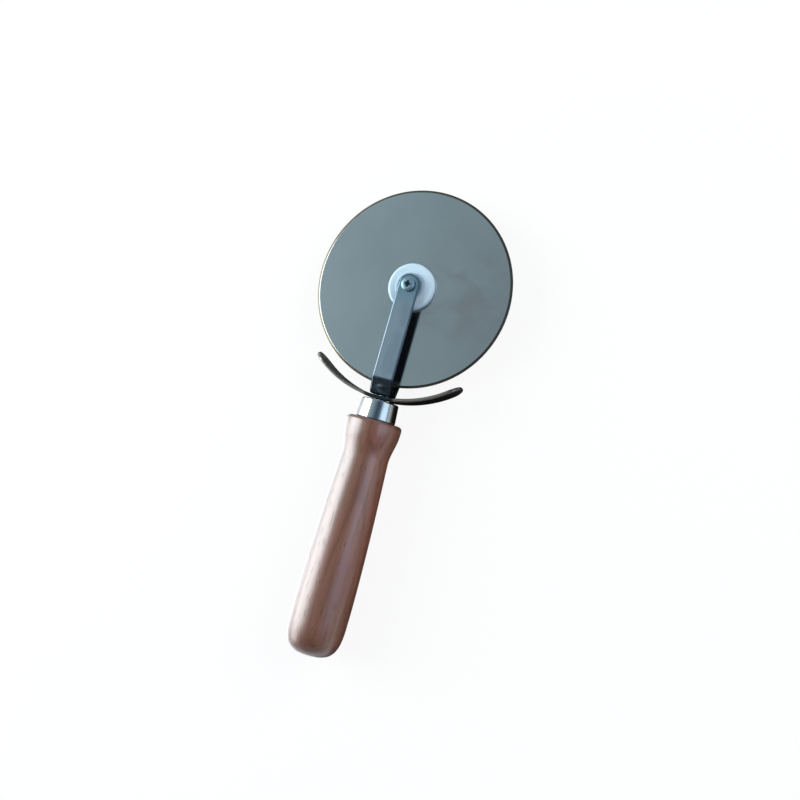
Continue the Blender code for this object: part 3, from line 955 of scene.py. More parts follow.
@dataclass(frozen=True)
class Wheel:
    """The ground disc and its two nylon bushes."""

    places: Places
    hole_radius: float = 0.0070
    grind_width: float = 0.0012
    grind_line_round: float = 0.0006
    hone_width: float = 0.0003
    tarnish_width: float = 0.0009
    hone_half: float = 0.00017
    edge_half: float = 0.00004
    bore_radius: float = 0.00285
    boss_radius: float = 0.0077
    boss_round: float = 0.0002
    flange_round: float = 0.0011
    foot_round: float = 0.0003
    spigot_setback: float = 0.00015
    face_dip: float = 0.00012
    washer_radius: float = 0.0066
    disc_sides: int = 256

    def disc(self) -> bpy.types.Object:
        """Make the disc: flat faces, a ground bevel and a finer honed edge.

        Returns:
            The new object.
        """
        radius, half = self.places.wheel_radius, self.places.wheel_half
        upper = [
            Corner(self.hole_radius, half, self.foot_round / 2),
            Corner(radius - self.grind_width, half, self.grind_line_round),
            Corner(radius - self.hone_width, self.hone_half),
            Corner(radius, self.edge_half),
        ]
        lower = [Corner(corner.out, -corner.up, corner.rounding) for corner in reversed(upper)]
        outline = outline_through(upper + lower, ring=True)
        lathe = Lathe(self.places.axle, Axis.AXLE, self.disc_sides)
        return lathe.turn("wheel_disc", outline, closed=True)

    def bush(self, node: str, side: int) -> bpy.types.Object:
        """Make a flanged bush on one side of the disc.

        Args:
            node: the node it stands for.
            side: 1 above the disc, -1 below.

        Returns:
            The new object.
        """
        low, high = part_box(node)
        boss_high = max(high.z - self.places.axle.z, self.places.axle.z - low.z)
        radius = (high.x - low.x) / 2
        foot = self.places.wheel_half + self.places.gap
        face = boss_high - self.places.gap
        outline = outline_through(
            [
                Corner(self.bore_radius, boss_high, self.boss_round),
                Corner(self.boss_radius, boss_high, self.boss_round),
                Corner(self.boss_radius + self.places.gap, face - self.face_dip, self.boss_round),
                Corner(radius - self.flange_round, face, self.flange_round),
                Corner(radius, face - self.flange_round / 2, self.flange_round),
                Corner(radius, foot, self.foot_round),
                Corner(self.hole_radius - self.places.gap, foot),
                Corner(self.hole_radius - self.places.gap, self.spigot_setback),
                Corner(self.bore_radius, self.spigot_setback),
            ],
            ring=True,
        )
        placed = [Vector((point.x, side * point.y)) for point in outline]
        return Lathe(self.places.axle, Axis.AXLE).turn(f"{node}_moulded", placed, closed=True)

    def build(self) -> None:
        """Build and dress the disc and the bushes."""
        _, hub_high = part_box("hub_front")
        radius = self.places.wheel_radius
        steel = WheelSteel(
            self.places.axle, radius - self.grind_width, radius - self.tarnish_width, hub_high.x
        ).material()
        nylon = MouldedNylon(self.places.axle, self.washer_radius).material()
        dress(self.disc(), steel, Body.WHEEL, Slot.WHEEL, "cutting_wheel")
        dress(self.bush("hub_front", 1), nylon, Body.WHEEL, Slot.HUB, "hub_front")
        dress(self.bush("hub_back", -1), nylon, Body.WHEEL, Slot.HUB, "hub_back")


@dataclass(frozen=True)
class Axle:
    """The barrel nut, the screw in it and the washers beside the arms."""

    places: Places
    hole_radius: float = 0.0029
    washer_round: float = 0.0003
    post_radius: float = 0.0026
    post_head_height: float = 0.0018
    post_head_round: float = 0.0006
    post_bore: float = 0.0018
    post_bore_depth: float = 0.0092
    slot_width: float = 0.0011
    slot_depth: float = 0.0008
    screw_radius: float = 0.0015
    screw_chamfer: float = 0.0004
    screw_head_height: float = 0.0021
    screw_head_side: float = 0.0008
    screw_crown_radius: float = 0.0014
    screw_fullness: float = 2.6
    recess_span: float = 0.0019
    recess_width: float = 0.00125
    recess_depth: float = 0.0013
    recess_floor_share: float = 0.5
    recess_waist: float = 1.25
    # Depths below the crown where the recess takes painted shade.
    recess_shade: Span = (0.0004, 0.0010)
    overrun: float = 0.001
    edge_round: float = 0.00012
    dome_steps: int = 14
    sides: int = 96

    @property
    def lathe(self) -> Lathe:
        """The lathe that turns the pieces about the wheel's axle."""
        return Lathe(self.places.axle, Axis.AXLE, self.sides)

    def washer(self, node: str) -> bpy.types.Object:
        """Make a flat washer with its outer edges rolled.

        Args:
            node: the node it stands for.

        Returns:
            The new object.
        """
        low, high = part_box(node)
        radius = (high.x - low.x) / 2
        bottom, top = low.z - self.places.axle.z, high.z - self.places.axle.z
        outline = outline_through(
            [
                Corner(self.hole_radius, top, self.edge_round),
                Corner(radius, top, self.washer_round),
                Corner(radius, bottom, self.washer_round),
                Corner(self.hole_radius, bottom, self.edge_round),
            ],
            ring=True,
        )
        return self.lathe.turn(f"{node}_rolled", outline, closed=True)

    def post(self) -> bpy.types.Object:
        """Make the barrel nut with its flat slotted head.

        Returns:
            The new object.
        """
        low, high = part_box("axle_post")
        head_low, end = low.z - self.places.axle.z, high.z - self.places.axle.z
        head_high = head_low + self.post_head_height
        radius = (high.x - low.x) / 2
        outline = outline_through(
            [
                Corner(0, end - self.post_bore_depth),
                Corner(self.post_bore, end - self.post_bore_depth),
                Corner(self.post_bore, end, self.edge_round),
                Corner(self.post_radius, end, self.edge_round),
                Corner(self.post_radius, head_high),
                Corner(radius, head_high, self.edge_round),
                Corner(radius, head_low, self.post_head_round),
                Corner(0, head_low),
            ],
            ring=False,
        )
        post = self.lathe.turn("post_turned", outline, closed=False)
        long = radius + self.overrun
        rings = []
        for level, flare in ((head_low - self.overrun, self.edge_round), (head_low + self.slot_depth, 0)):
            wide = self.slot_width / 2 + flare
            corners = ((-wide, -long), (wide, -long), (wide, long), (-wide, long))
            rings.append([self.places.axle + Vector((x, y, level)) for x, y in corners])
        cut(post, self.capped("slot_tool", rings))
        return post

    @staticmethod
    def capped(name: str, rings: Sequence[Sequence[Vector]]) -> bpy.types.Object:
        """Make a closed shape from rings, with a flat cap at each end.

        Args:
            name: the new object's name.
            rings: the rings in order.

        Returns:
            The new object.
        """
        tool = skin(name, rings, closed=False)
        shape = bmesh.new()
        shape.from_mesh(tool.data)
        bmesh.ops.holes_fill(shape, edges=shape.edges)
        bmesh.ops.recalc_face_normals(shape, faces=shape.faces)
        shape.to_mesh(tool.data)
        shape.free()
        return tool

    def screw(self) -> bpy.types.Object:
        """Make the pan-head screw with a tapering cross recess.

        Returns:
            The new object.
        """
        low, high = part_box("axle_screw")
        crown, end = high.z - self.places.axle.z, low.z - self.places.axle.z
        radius = (high.x - low.x) / 2
        head_low = crown - self.screw_head_height
        side = head_low + self.screw_head_side
        power = 2 / self.screw_fullness
        dome = [Vector((0, crown))]
        for step in range(self.dome_steps + 1):
            angle = math.pi / 2 * (1 - step / self.dome_steps)
            out = (radius - self.screw_crown_radius) * abs(math.cos(angle)) ** power
            rise = (crown - side) * math.sin(angle) ** power
            dome.append(Vector((self.screw_crown_radius + out, side + rise)))
        rest = outline_through(
            [
                Corner(radius, side),
                Corner(radius, head_low, self.edge_round),
                Corner(self.screw_radius, head_low),
                Corner(self.screw_radius, end + self.screw_chamfer),
                Corner(self.screw_radius - self.screw_chamfer, end),
                Corner(0, end),
            ],
            ring=False,
        )
        screw = self.lathe.turn("screw_turned", dome + rest[1:], closed=False)
        rings = []
        levels = (
            (crown + self.overrun, 1 + (1 - self.recess_floor_share) * self.overrun / self.recess_depth),
            (crown - self.recess_depth, self.recess_floor_share),
        )
        for level, share in levels:
            span, wide = self.recess_span * share, self.recess_width / 2 * share
            waist = wide * self.recess_waist
            ring = []
            for quarter in range(4):
                turn = Matrix.Rotation(quarter * math.pi / 2, 3, "Z")
                for x, y in ((span, -wide), (span, wide), (waist, waist)):
                    ring.append(self.places.axle + turn @ Vector((x, y, level)))
            rings.append(ring)
        cut(screw, self.capped("recess_tool", rings))
        return screw

    def build(self) -> None:
        """Build and dress the four pieces, and dress the tang's node."""
        axle = self.places.axle
        _, screw_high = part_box("axle_screw")
        crown = screw_high.z - axle.z
        plate = PlatedSteel("zinc_plate", axle).material()
        screw_plate = PlatedSteel(
            "zinc_screw",
            axle,
            zinc=(0.24, 0.37, 0.44),
            cloudy=(0.18, 0.30, 0.37),
            metallic=0.65,
            base_roughness=0.31,
            # painted shade in the cross recess
            deep=(crown - self.recess_shade[0], crown - self.recess_shade[1]),
        ).material()
        washer_plate = PlatedSteel(
            "zinc_washer",
            axle,
            zinc=(0.34, 0.45, 0.53),
            cloudy=(0.28, 0.38, 0.46),
            metallic=0.4,
            base_roughness=0.32,
        ).material()
        dress(self.washer("washer_front"), washer_plate, Body.FRAME, Slot.FASTENER, "washer_front")
        dress(self.washer("washer_back"), washer_plate, Body.FRAME, Slot.FASTENER, "washer_back")
        dress(self.post(), plate, Body.FRAME, Slot.FASTENER, "axle_post")
        dress(self.screw(), screw_plate, Body.FRAME, Slot.FASTENER, "axle_screw")
        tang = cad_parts["tang"]
        tang.data.materials.clear()
        tang.data.materials.append(plate)
        LOG.info("tang: the frame's own mesh, dressed")


@dataclass(frozen=True)
class Strap:
    """A strap with round ends, cut flat and then bent, as rings from its outer face to its inner."""

    length: float
    width: float
    thickness: float
    outer_margin: Corner
    inner_margin: Corner
    burr_round: float
    stations: Sequence[float]
    columns: int
    tip_steps: int = 24
    edge_steps: int = 4

    def section(self) -> list[Vector]:
        """Draw half of the strap's cross-section.

        Returns:
            Its points as (inset from the edge, height).
        """
        half = self.width / 2
        outer, inner = self.outer_margin, self.inner_margin
        corners = [
            Corner(half, self.thickness),
            Corner(outer.out, self.thickness, outer.rounding),
            Corner(0, self.thickness - outer.up, self.burr_round),
            Corner(0, inner.up, self.burr_round),
            Corner(inner.out, 0, inner.rounding),
            Corner(half, 0),
        ]
        outline = outline_through(corners, ring=False, steps=self.edge_steps)
        first, last = outline[1], outline[-2]
        faces = [index / self.columns for index in range(self.columns)]
        above = [outline[0].lerp(first, share) for share in faces]
        below = [last.lerp(outline[-1], (index + 1) / self.columns) for index in range(self.columns)]
        return above + outline[1:-1] + below

    def ring(self, inset: float, height: float) -> list[Vector]:
        """Draw the strap's outline, drawn in by an inset.

        Args:
            inset: how far it is drawn in from the edge.
            height: its height above the strap's inner face.

        Returns:
            Its points as (along, across, height).
        """
        run = self.length / 2 - self.width / 2
        radius = self.width / 2 - inset
        ring = []
        for end in (1, -1):
            ring += [Vector((end * station, -end * radius, height)) for station in self.stations]
            for step in range(self.tip_steps + 1):
                angle = math.pi * (step / self.tip_steps - 1 / 2)
                along = end * (run + radius * math.cos(angle))
                ring.append(Vector((along, end * radius * math.sin(angle), height)))
        return ring

    def bent(
        self,
        name: str,
        course: Sequence[tuple[float, float]],
        lay: Callable[[float, float, float], Vector],
        relief: Callable[[float, float], float] | None = None,
    ) -> bpy.types.Object:
        """Bend the strap to a course that both halves follow from the middle, outer face outside.

        Args:
            name: the new object's name.
            course: legs of (length, turn), the first along the course's X.
            lay: where (along X, along Y, across) goes in the frame.
            relief: how far the press pushes the strap outwards at a station and place across it.

        Returns:
            The new object.
        """
        rings = []
        for inset, height in self.section():
            ring = []
            for station, across, depth in self.ring(inset, height):
                side = math.copysign(1, station)
                here, heading = self.walk(course, abs(station))
                out = depth - self.thickness / 2
                if relief:
                    out += relief(abs(station), across)
                along = side * (here.x + math.sin(heading) * out)
                ring.append(lay(along, here.y - math.cos(heading) * out, across))
            rings.append(ring)
        return skin(name, rings, closed=False)

    @staticmethod
    def walk(course: Sequence[tuple[float, float]], station: float) -> tuple[Vector, float]:
        """Find the place and the heading at a station on a course.

        Args:
            course: legs of (length, turn).
            station: the distance walked.

        Returns:
            The place and the heading.
        """
        here = Vector((0, 0))
        heading = 0.0
        for length, turn in course:
            step = min(station, length)
            swept = turn * step / length
            if turn:
                radius = length / turn
                here.x += radius * (math.sin(heading + swept) - math.sin(heading))
                here.y += radius * (math.cos(heading) - math.cos(heading + swept))
            else:
                here += Vector((math.cos(heading), math.sin(heading))) * step
            heading += swept
            station -= step
            if station <= 0:
                break
        return here, heading


def spread(start: float, end: float, pitch: float) -> list[float]:
    """Even stations from a start up to an end, the end left out, no further apart than a pitch."""
    count = max(1, math.ceil((end - start) / pitch))
    return [start + (end - start) * index / count for index in range(count)]


@dataclass(frozen=True)
class Fork:
    """One strap bent to a U round the wheel, with a stiffening gusset in each shoulder."""

    places: Places
    thickness: float = 0.0016
    margin: Corner = field(default_factory=lambda: Corner(0.0006, 0.00028, 0.0002))
    burr: Corner = field(default_factory=lambda: Corner(0.0002, 0.0002, 0.0001))
    burr_round: float = 0.00016
    bend_radius: float = 0.0012
    shoulder_rise: float = 0.0076
    gusset_half_width: float = 0.0038
    gusset_half_length: float = 0.0026
    gusset_start: float = -0.0005
    gusset_height: float = 0.00030
    axle_hole: float = 0.0029
    tang_hole: float = 0.0022
    fine_pitch: float = 0.0003
    coarse_pitch: float = 0.0015
    columns: int = 14

    def strap(self) -> bpy.types.Object:
        """Make the bent strap, before its holes.

        Returns:
            The new object.
        """
        low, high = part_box("fork")
        tang_low, tang_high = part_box("tang")
        width = high.x - low.x
        base_half = (tang_high.x - tang_low.x) / 2 + self.places.gap
        arm_offset = high.z - self.places.axle.z - self.thickness / 2
        apart = arm_offset - base_half - self.bend_radius
        climb = self.shoulder_rise - self.bend_radius
        lean = math.atan2(apart, climb)
        shoulder_run = math.hypot(apart, climb)
        lower_bend = self.bend_radius * (math.pi / 2 - lean)
        upper_bend = self.bend_radius * lean
        middle = low.y + self.thickness / 2
        arm_run = self.places.axle.y - middle - self.shoulder_rise + width / 2
        course = [
            (base_half, 0.0),
            (lower_bend, math.pi / 2 - lean),
            (shoulder_run, 0.0),
            (upper_bend, lean),
            (arm_run, 0.0),
        ]
        shoulder_start = base_half + lower_bend
        arm_start = shoulder_start + shoulder_run + upper_bend
        tip = arm_start + arm_run
        half = spread(self.fine_pitch / 2, arm_start, self.fine_pitch)
        half += spread(arm_start, tip - width / 2, self.coarse_pitch)
        gusset_middle = shoulder_start + self.gusset_start + self.gusset_half_length

        def gusset(station: float, across: float) -> float:
            """Find the height of the gusset pressed out of each shoulder.

            Args:
                station: the distance along the strap from its middle.
                across: the distance from the strap's middle line.

            Returns:
                The height.
            """
            along = (station - gusset_middle) / self.gusset_half_length
            distance = math.hypot(along, across / self.gusset_half_width)
            return self.gusset_height * math.cos(math.pi / 2 * min(distance, 1)) ** 2

        blank = Strap(
            length=2 * tip,
            width=width,
            thickness=self.thickness,
            outer_margin=self.margin,
            inner_margin=self.burr,
            burr_round=self.burr_round,
            stations=[-station for station in reversed(half)] + half,
            columns=self.columns,
        )
        axis = self.places.tool_axis
        return blank.bent(
            "fork_pressed",
            course,
            lambda along, rise, across: Vector((axis.x + across, middle + rise, axis.z + along)),
            gusset,
        )

    def build(self) -> None:
        """Build, bore and dress the fork."""
        low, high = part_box("fork")
        piece = self.strap()
        axle, axis = self.places.axle, self.places.tool_axis
        reach = high.z - axle.z + self.thickness
        Lathe(axle, Axis.AXLE, DRILL_SIDES).drill(piece, self.axle_hole, -reach, reach)
        foot = low.y - axis.y
        tang_drill = Lathe(axis, Axis.TOOL, DRILL_SIDES)
        tang_drill.drill(piece, self.tang_hole, foot - self.thickness, foot + 2 * self.thickness)
        inner_face = high.z - axle.z - self.thickness
        # Painted light: the tip is tinted for a bluer reflection, and the faces inside the fork and below its
        # bends take painted shade.
        steel = StrapSteel(
            "fork_steel", axle, Grain.STRAIGHT, tip=(0.31, 0.49, 0.585), shade_within=inner_face
        ).material()
        dress(piece, steel, Body.FRAME, Slot.STRAP, "fork")


@dataclass(frozen=True)
class Guard:
    """The curved finger guard, a strap with rolled edges and round ends."""

    places: Places
    length: float = 0.0836
    thickness: float = 0.0018
    margin: Corner = field(default_factory=lambda: Corner(0.00055, 0.00032, 0.0007))
    edge_round: float = 0.0006
    tang_hole: float = 0.0022
    pitch: float = 0.0010
    columns: int = 4

    def build(self) -> None:
        """Build, bore and dress the guard."""
        low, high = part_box("guard")
        axis = self.places.tool_axis
        middle = low.y + self.thickness / 2
        radius = self.places.axle.y - middle
        width = high.z - low.z
        half = self.length / 2
        stations = spread(self.pitch / 2, half - width / 2, self.pitch)
        blank = Strap(
            length=self.length,
            width=width,
            thickness=self.thickness,
            outer_margin=self.margin,
            inner_margin=self.margin,
            burr_round=self.edge_round,
            stations=[-station for station in reversed(stations)] + stations,
            columns=self.columns,
        )
        piece = blank.bent(
            "guard_rolled",
            [(half, half / radius)],
            lambda along, rise, across: Vector((axis.x + along, middle + rise, axis.z + across)),
        )
        foot = low.y - axis.y
        tang_drill = Lathe(axis, Axis.TOOL, DRILL_SIDES)
        tang_drill.drill(piece, self.tang_hole, foot - self.thickness, foot + 2 * self.thickness)
        steel = StrapSteel(
            "guard_steel",
            self.places.axle,
            Grain.ROUND,
            steel=(0.25, 0.235, 0.22),
            dull=(0.15, 0.135, 0.125),
            bright=(0.38, 0.37, 0.35),
            edge=(0.36, 0.32, 0.28),
            edge_roughness=0.26,
            edge_at=0.0054,
            # painted shade on the left end's edge
            left_end_shade=(0.20, 0.19, 0.16),
            # painted shade on the edge in front of the ferrule
            joint_shade=(0.040, 0.052, 0.060),
        ).material()
        dress(piece, steel, Body.FRAME, Slot.STRAP, "guard")


@dataclass(frozen=True)
class Ferrule:
    """The drawn cup on the top of the handle."""

    places: Places
    top_radius: float = 0.0092
    wall: float = 0.0008
    top_round: float = 0.0009
    foot_round: float = 0.0003
    hole_radius: float = 0.0022
    sides: int = 160

    def build(self) -> None:
        """Build and dress the ferrule."""
        low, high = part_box("ferrule")
        axis = self.places.tool_axis
        foot, top = low.y - axis.y, high.y - axis.y
        foot_radius = (high.x - low.x) / 2
        outline = outline_through(
            [
                Corner(self.hole_radius, top, self.foot_round / 2),
                Corner(self.top_radius, top, self.top_round),
                Corner(foot_radius, foot, self.foot_round),
                Corner(foot_radius - self.wall, foot, self.foot_round / 2),
                Corner(self.top_radius - self.wall, top - self.wall, self.foot_round),
                Corner(self.hole_radius, top - self.wall),
            ],
            ring=True,
        )
        piece = Lathe(axis, Axis.TOOL, self.sides).turn("ferrule_drawn", outline, closed=True)
        dress(piece, NickelPlate(axis, foot).material(), Body.FRAME, Slot.FERRULE, "ferrule")


@dataclass(frozen=True)
class Handle:
    """The turned handle: spigot, bead, neck, long swell and full round butt."""

    places: Places
    shoulder_radius: float = 0.01385
    shoulder_round: float = 0.0026
    shoulder_bead: float = 0.0038
    neck_radius: float = 0.0118
    neck_station: float = 0.0188
    belly_station: float = 0.0955
    butt_fullness: float = 3.6
    spigot_radius: float = 0.0081
    spigot_chamfer: float = 0.0006
    bore_radius: float = 0.0022
    bore_spare: float = 0.0020
    hand_turned: float = 0.00006
    waves_round: float = 1.5
    waves_along: float = 90
    profile_steps: int = 40
    head_steps: int = 10
    sides: int = 160

    def body(self, belly_radius: float, length: float) -> list[Vector]:
        """Draw the outline from the bead to the end of the butt.

        Args:
            belly_radius: the largest radius.
            length: from the shoulder to the end.

        Returns:
            The outline's points as (radius, height).
        """
        steps = self.profile_steps
        middle = (self.shoulder_radius + self.neck_radius) / 2
        swing = (self.shoulder_radius - self.neck_radius) / 2
        outline = []
        for step in range(steps):
            share = step / steps
            station = self.shoulder_bead + (self.neck_station - self.shoulder_bead) * share
            outline.append(Vector((middle + swing * math.cos(math.pi * share), -station)))
        for step in range(2 * steps):
            share = step / (2 * steps)
            station = self.neck_station + (self.belly_station - self.neck_station) * share
            swell = (belly_radius - self.neck_radius) * math.sin(math.pi / 2 * share)
            outline.append(Vector((self.neck_radius + swell, -station)))
        power = 2 / self.butt_fullness
        for step in range(steps):
            angle = math.pi / 2 * step / steps
            station = self.belly_station + (length - self.belly_station) * math.sin(angle) ** power
            outline.append(Vector((belly_radius * math.cos(angle) ** power, -station)))
        outline.append(Vector((0, -length)))
        return outline

    def relief(self, angle: float, height: float) -> float:
        """Find the small unevenness of a sanded handle, never proud of its outline.

        Args:
            angle: the angle about the handle's axis.
            height: the height along it.

        Returns:
            How far the surface stands proud, which is never above zero.
        """
        across, up = math.cos(angle) * self.waves_round, math.sin(angle) * self.waves_round
        where = Vector((across, up, height * self.waves_along))
        return self.hand_turned * (noise.noise(where) - 1) / 2

    def build(self) -> None:
        """Build and dress the handle."""
        low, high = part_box("handle")
        tang_low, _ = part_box("tang")
        axis = self.places.tool_axis
        bore_end = tang_low.y - axis.y - self.bore_spare
        spigot_end = high.y - axis.y
        head = outline_through(
            [
                Corner(0, bore_end),
                Corner(self.bore_radius, bore_end),
                Corner(self.bore_radius, spigot_end, self.spigot_chamfer / 3),
                Corner(self.spigot_radius, spigot_end, self.spigot_chamfer),
                Corner(self.spigot_radius, 0),
                Corner(self.shoulder_radius, 0, self.shoulder_round),
                Corner(self.shoulder_radius, -self.shoulder_bead),
            ],
            ring=False,
            steps=self.head_steps,
        )
        outline = head[:-1] + self.body((high.x - low.x) / 2, axis.y - low.y)
        lathe = Lathe(axis, Axis.TOOL, self.sides)
        piece = lathe.turn("handle_turned", outline, closed=False, relief=self.relief)
        dress(piece, StainedWood(axis).material(), Body.FRAME, Slot.HANDLE, "handle")


def sheet(name: str, low: Span, high: Span, level: float = 0.0) -> bpy.types.Object:
    """Lay out a flat rectangle for the studio.

    Args:
        name: the new object's name.
        low: its least X and Y.
        high: its greatest X and Y.
        level: its height above the floor.

    Returns:
        The new object.
    """
    (left, near), (right, far) = low, high
    mesh = bpy.data.meshes.new(name)
    corners = [(left, near, level), (right, near, level), (right, far, level), (left, far, level)]
    mesh.from_pydata(corners, [], [(0, 1, 2, 3)])
    laid = bpy.data.objects.new(name, mesh)
    bpy.context.scene.collection.objects.link(laid)
    LOG.info("%s: laid", name)
    return laid


@dataclass(frozen=True)
class Softbox:
    """A rectangular studio lamp that faces the cutter."""

    name: str
    bearing: float
    elevation: float
    breadth: float
    height: float
    radiance: float
    tint: Colour
    distance: float = 1.2
    in_gloss: bool = True
    in_diffuse: bool = True

    def hang(self) -> None:
        """Make the lamp. Its bearing is from +X, anticlockwise, seen from above."""
        lamp = bpy.data.lights.new(self.name, "AREA")
        lamp.shape = "RECTANGLE"
        lamp.size = self.breadth
        lamp.size_y = self.height
        lamp.color = self.tint
        lamp.energy = self.radiance * math.pi * self.breadth * self.height
        turn, rise = math.radians(self.bearing), math.radians(self.elevation)
        away = Vector((math.cos(rise) * math.cos(turn), math.cos(rise) * math.sin(turn), math.sin(rise)))
        holder = bpy.data.objects.new(self.name, lamp)
        holder.location = away * self.distance
        holder.rotation_mode = "QUATERNION"
        holder.rotation_quaternion = (-away).to_track_quat("-Z", "Y")
        holder.visible_glossy = self.in_gloss
        holder.visible_diffuse = self.in_diffuse
        bpy.context.scene.collection.objects.link(holder)
        LOG.info("%s: lamp hung", self.name)


@dataclass(frozen=True)
class Card:
    """A card that lies on the floor, shown in gloss only: a dark sheet of painted shadow, or a glowing white
    panel.
    """

    name: str
    low: Span
    high: Span
    # The tone of painted shadow.
    shadow_tone: Colour = (0.02, 0.018, 0.015)
    lift: float = 0.0001
    thin_span: Span = (0.030, 0.085)
    thin_share: float = 0.6
    near_fade: float | None = None
    far_fade: float | None = None
    glow: Colour | None = None

    def lay(self) -> None:
        """Lay the card, which thins to the tool's right and fades at its near and far ends."""
        card = sheet(self.name, self.low, self.high, self.lift)
        near, far = self.low[1], self.high[1]
        desk = Desk.of_material(self.name)
        x, y, _ = desk.split(desk.place())
        cover = 1 - desk.step(x, *self.thin_span) * (1 - self.thin_share)
        if self.near_fade:
            cover = cover * desk.step(y, near, near + self.near_fade)
        if self.far_fade:
            cover = cover * desk.step(y, far, far - self.far_fade)
        if self.glow:
            paper = desk.add("ShaderNodeEmission", sockets={"Color": self.glow, "Strength": 1.0})
        else:
            paper = desk.add("ShaderNodeBsdfDiffuse", sockets={"Color": self.shadow_tone})
        desk.blend(cover, desk.add("ShaderNodeBsdfTransparent"), paper)
        card.data.materials.append(desk.material)
        card.visible_camera = False
        card.visible_diffuse = False
        card.visible_shadow = False
        card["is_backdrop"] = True


@dataclass(frozen=True)
class Studio:
    """A white floor, a large soft window on the left, a fill lamp, and a dim room for the metal to reflect.

    The window's low wing and the three cards on the floor show in gloss only, and the fill lamp doesn't
    show in gloss. The room is dim overhead, paler on the left, and bright on the right.
    """

    floor_half: float = 3.0
    floor_white: Colour = (0.90, 0.90, 0.90)
    camera_lift: float = 0.90
    gloss_lift: float = 0.25
    white_span: Span = (0.18, 0.60)
    dusk: Colour = (0.018, 0.028, 0.042)
    far_wall: Colour = (0.26, 0.33, 0.38)
    near_wall: Colour = (0.30, 0.34, 0.36)
    skylight: Colour = (1.70, 1.55, 2.20)
    far_lean: Span = (44, 62)
    sky_left: Span = (38, 48)
    sky_right: Span = (84, 74)
    sky_lean: Span = (6, 1)
    dusk_lean: Span = (-14, -22)
    near_lean: Span = (-48, -62)
    room_tones: tuple[tuple[float, Colour], ...] = (
        (-90, (0.55, 0.66, 0.74)),
        (-46, (0.55, 0.66, 0.74)),
        (-36, (0.335, 0.440, 0.500)),
        (-25, (0.325, 0.430, 0.485)),
        (-13, (0.225, 0.288, 0.322)),
        (-1, (0.140, 0.195, 0.240)),
        (8, (0.06, 0.10, 0.15)),
        (20, (0.055, 0.09, 0.14)),
        (29, (0.10, 0.15, 0.21)),
        (36, (0.22, 0.31, 0.40)),
        (46, (0.75, 0.98, 1.20)),
        (52, (0.85, 1.12, 1.38)),
        (72, (0.85, 1.12, 1.38)),
        (82, (0.36, 0.46, 0.55)),
        (90, (0.30, 0.38, 0.45)),
    )
    lamps: tuple[Softbox, ...] = (
        Softbox(
            "window_softbox",
            bearing=180,
            elevation=26.5,
            breadth=0.85,
            height=1.197,
            radiance=6.6,
            tint=(0.94, 1.0, 1.03),
        ),
        Softbox(
            "window_wing",
            bearing=211,
            elevation=15,
            breadth=0.50,
            height=0.56,
            radiance=4.6,
            tint=(0.94, 1.0, 1.03),
            in_diffuse=False,
        ),
        Softbox(
            "fill_softbox",
            bearing=40,
            elevation=33,
            breadth=1.0,
            height=0.80,
            radiance=3.7,
            tint=(1.0, 0.95, 0.94),
            in_gloss=False,
        ),
    )
    # The two dark cards are painted shadow, laid under and beside the cutter where its shadow falls, seen
    # only in reflections.
    cards: tuple[Card, ...] = (
        Card("handle_shadow_card", (0.0, -0.155), (0.400, 0.015), near_fade=0.035),
        Card("head_shadow_card", (-0.066, 0.015), (0.400, 0.130)),
        Card(
            "lit_panel",
            (-0.400, -0.150),
            (-0.017, 0.003),
            near_fade=0.040,
            far_fade=0.007,
            glow=(2.5, 2.8, 3.0),
        ),
    )

    def floor(self) -> None:
        """Lay the floor, lifted towards white for the camera and a little in gloss.

        Near the cutter a tenth of the paper shows through, which keeps its shadow, and further off none.
        """
        floor = sheet("studio_floor", (-self.floor_half,) * 2, (self.floor_half,) * 2)
        desk = Desk.of_material("studio_floor")
        rays = desk.add("ShaderNodeLightPath", output="Is Camera Ray")
        gloss = desk.maths("MAXIMUM", rays.other("Is Glossy Ray"), rays.other("Is Transmission Ray"))
        x, y, _ = desk.split(desk.place())
        away = desk.step(desk.away(x, y), *self.white_span)
        lift = rays * (self.camera_lift + away * (1 - self.camera_lift)) + gloss * self.gloss_lift
        paper = desk.add("ShaderNodeBsdfDiffuse", sockets={"Color": self.floor_white})
        glow = desk.add("ShaderNodeEmission", sockets={"Color": (1.0, 1.0, 1.0), "Strength": 1.0})
        desk.blend(lift, paper, glow)
        floor.data.materials.append(desk.material)
        floor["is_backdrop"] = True

    def room(self) -> None:
        """Paint the room by its angles from overhead, in degrees: tilt to the right, lean to the far end.

        The tones run from left to right. A pale wall is laid over them at the far end, then the strip
        of sky, then dusk towards the handle, with a pale wall low behind it. The camera sees white.
        """
        world = bpy.data.worlds.new("studio_room")
        bpy.context.scene.world = world
        world.use_nodes = True
        desk = Desk(world.node_tree)
        x, y, z = desk.split(desk.add("ShaderNodeTexCoord", output="Generated"))
        tilt = desk.maths("ARCTAN2", x, z) * math.degrees(1)
        lean = desk.maths("ARCTAN2", y, z) * math.degrees(1)
        stops = [((angle + 90) / 180, colour) for angle, colour in self.room_tones]
        room = desk.ramp((tilt + 90) / 180, *stops)
        room = desk.mix(desk.step(lean, *self.far_lean), room, self.far_wall)
        sky = desk.step(tilt, *self.sky_left) * desk.step(tilt, *self.sky_right)
        room = desk.mix(sky * desk.step(lean, *self.sky_lean), room, self.skylight)
        room = desk.mix(desk.step(lean, *self.dusk_lean), room, self.dusk)
        room = desk.mix(desk.step(lean, *self.near_lean), room, self.near_wall)
        rays = desk.add("ShaderNodeLightPath", output="Is Camera Ray")
        colour = desk.mix(rays, room, (1.0, 1.0, 1.0))
        desk.feed(desk.tree.nodes["Background"], {"Color": colour, "Strength": 1.0})

    def build(self) -> None:
        """Build the floor, the room, the lamps and the cards."""
        self.floor()
        self.room()
        for lamp in self.lamps:
            lamp.hang()
        for card in self.cards:
            card.lay()
        bpy.context.scene.view_settings.view_transform = "Standard"


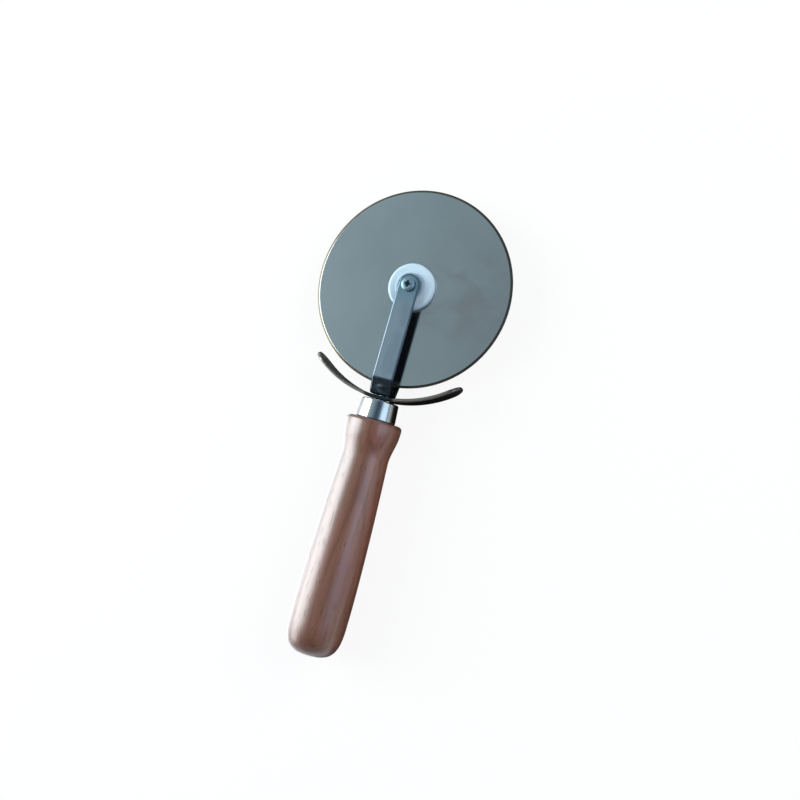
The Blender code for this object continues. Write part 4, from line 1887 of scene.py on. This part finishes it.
@dataclass(frozen=True)
class Viewpoint:
    """The photograph's viewing place, over the tool and to its right."""

    target: tuple[float, float, float] = (0.00939, 0.01253, 0.01425)
    distance: float = 0.500
    azimuth: float = 17.96
    elevation: float = -3.26
    roll: float = 15.82
    lens: float = 46.13
    sensor: float = 36.0

    def build(self) -> None:
        """Make the camera."""
        turn, rise, roll = (math.radians(item) for item in (self.azimuth, self.elevation, self.roll))
        back = Vector((math.sin(turn) * math.cos(rise), math.sin(rise), math.cos(turn) * math.cos(rise)))
        right = Vector((0, 1, 0)).cross(back).normalized()
        up = back.cross(right)
        across = right * math.cos(roll) + up * math.sin(roll)
        upward = up * math.cos(roll) - right * math.sin(roll)
        data = bpy.data.cameras.new("photo_view")
        data.lens = self.lens
        data.sensor_width = self.sensor
        camera = bpy.data.objects.new("photo_view", data)
        facing = Matrix((across, upward, back)).transposed().to_4x4()
        camera.matrix_world = Matrix.Translation(Vector(self.target) + back * self.distance) @ facing
        bpy.context.scene.collection.objects.link(camera)
        bpy.context.scene.camera = camera
        LOG.info("camera: %.0f mm lens", self.lens)


def write_sizes() -> None:
    """Log the frame's box and the dressed part's box."""
    boxes = [[list(corner) for corner in box] for box in (CAD_BOX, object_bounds())]
    LOG.info("boxes: %s", boxes)


def main() -> None:
    """Build the camera, the studio and every sub-assembly."""
    logging.basicConfig(level=logging.INFO, format="%(name)s: %(message)s")
    places = Places.from_frame()
    Viewpoint().build()
    Studio().build()
    Wheel(places).build()
    Axle(places).build()
    Fork(places).build()
    Guard(places).build()
    Ferrule(places).build()
    Handle(places).build()
    write_sizes()


if __name__ == "__main__":
    main()
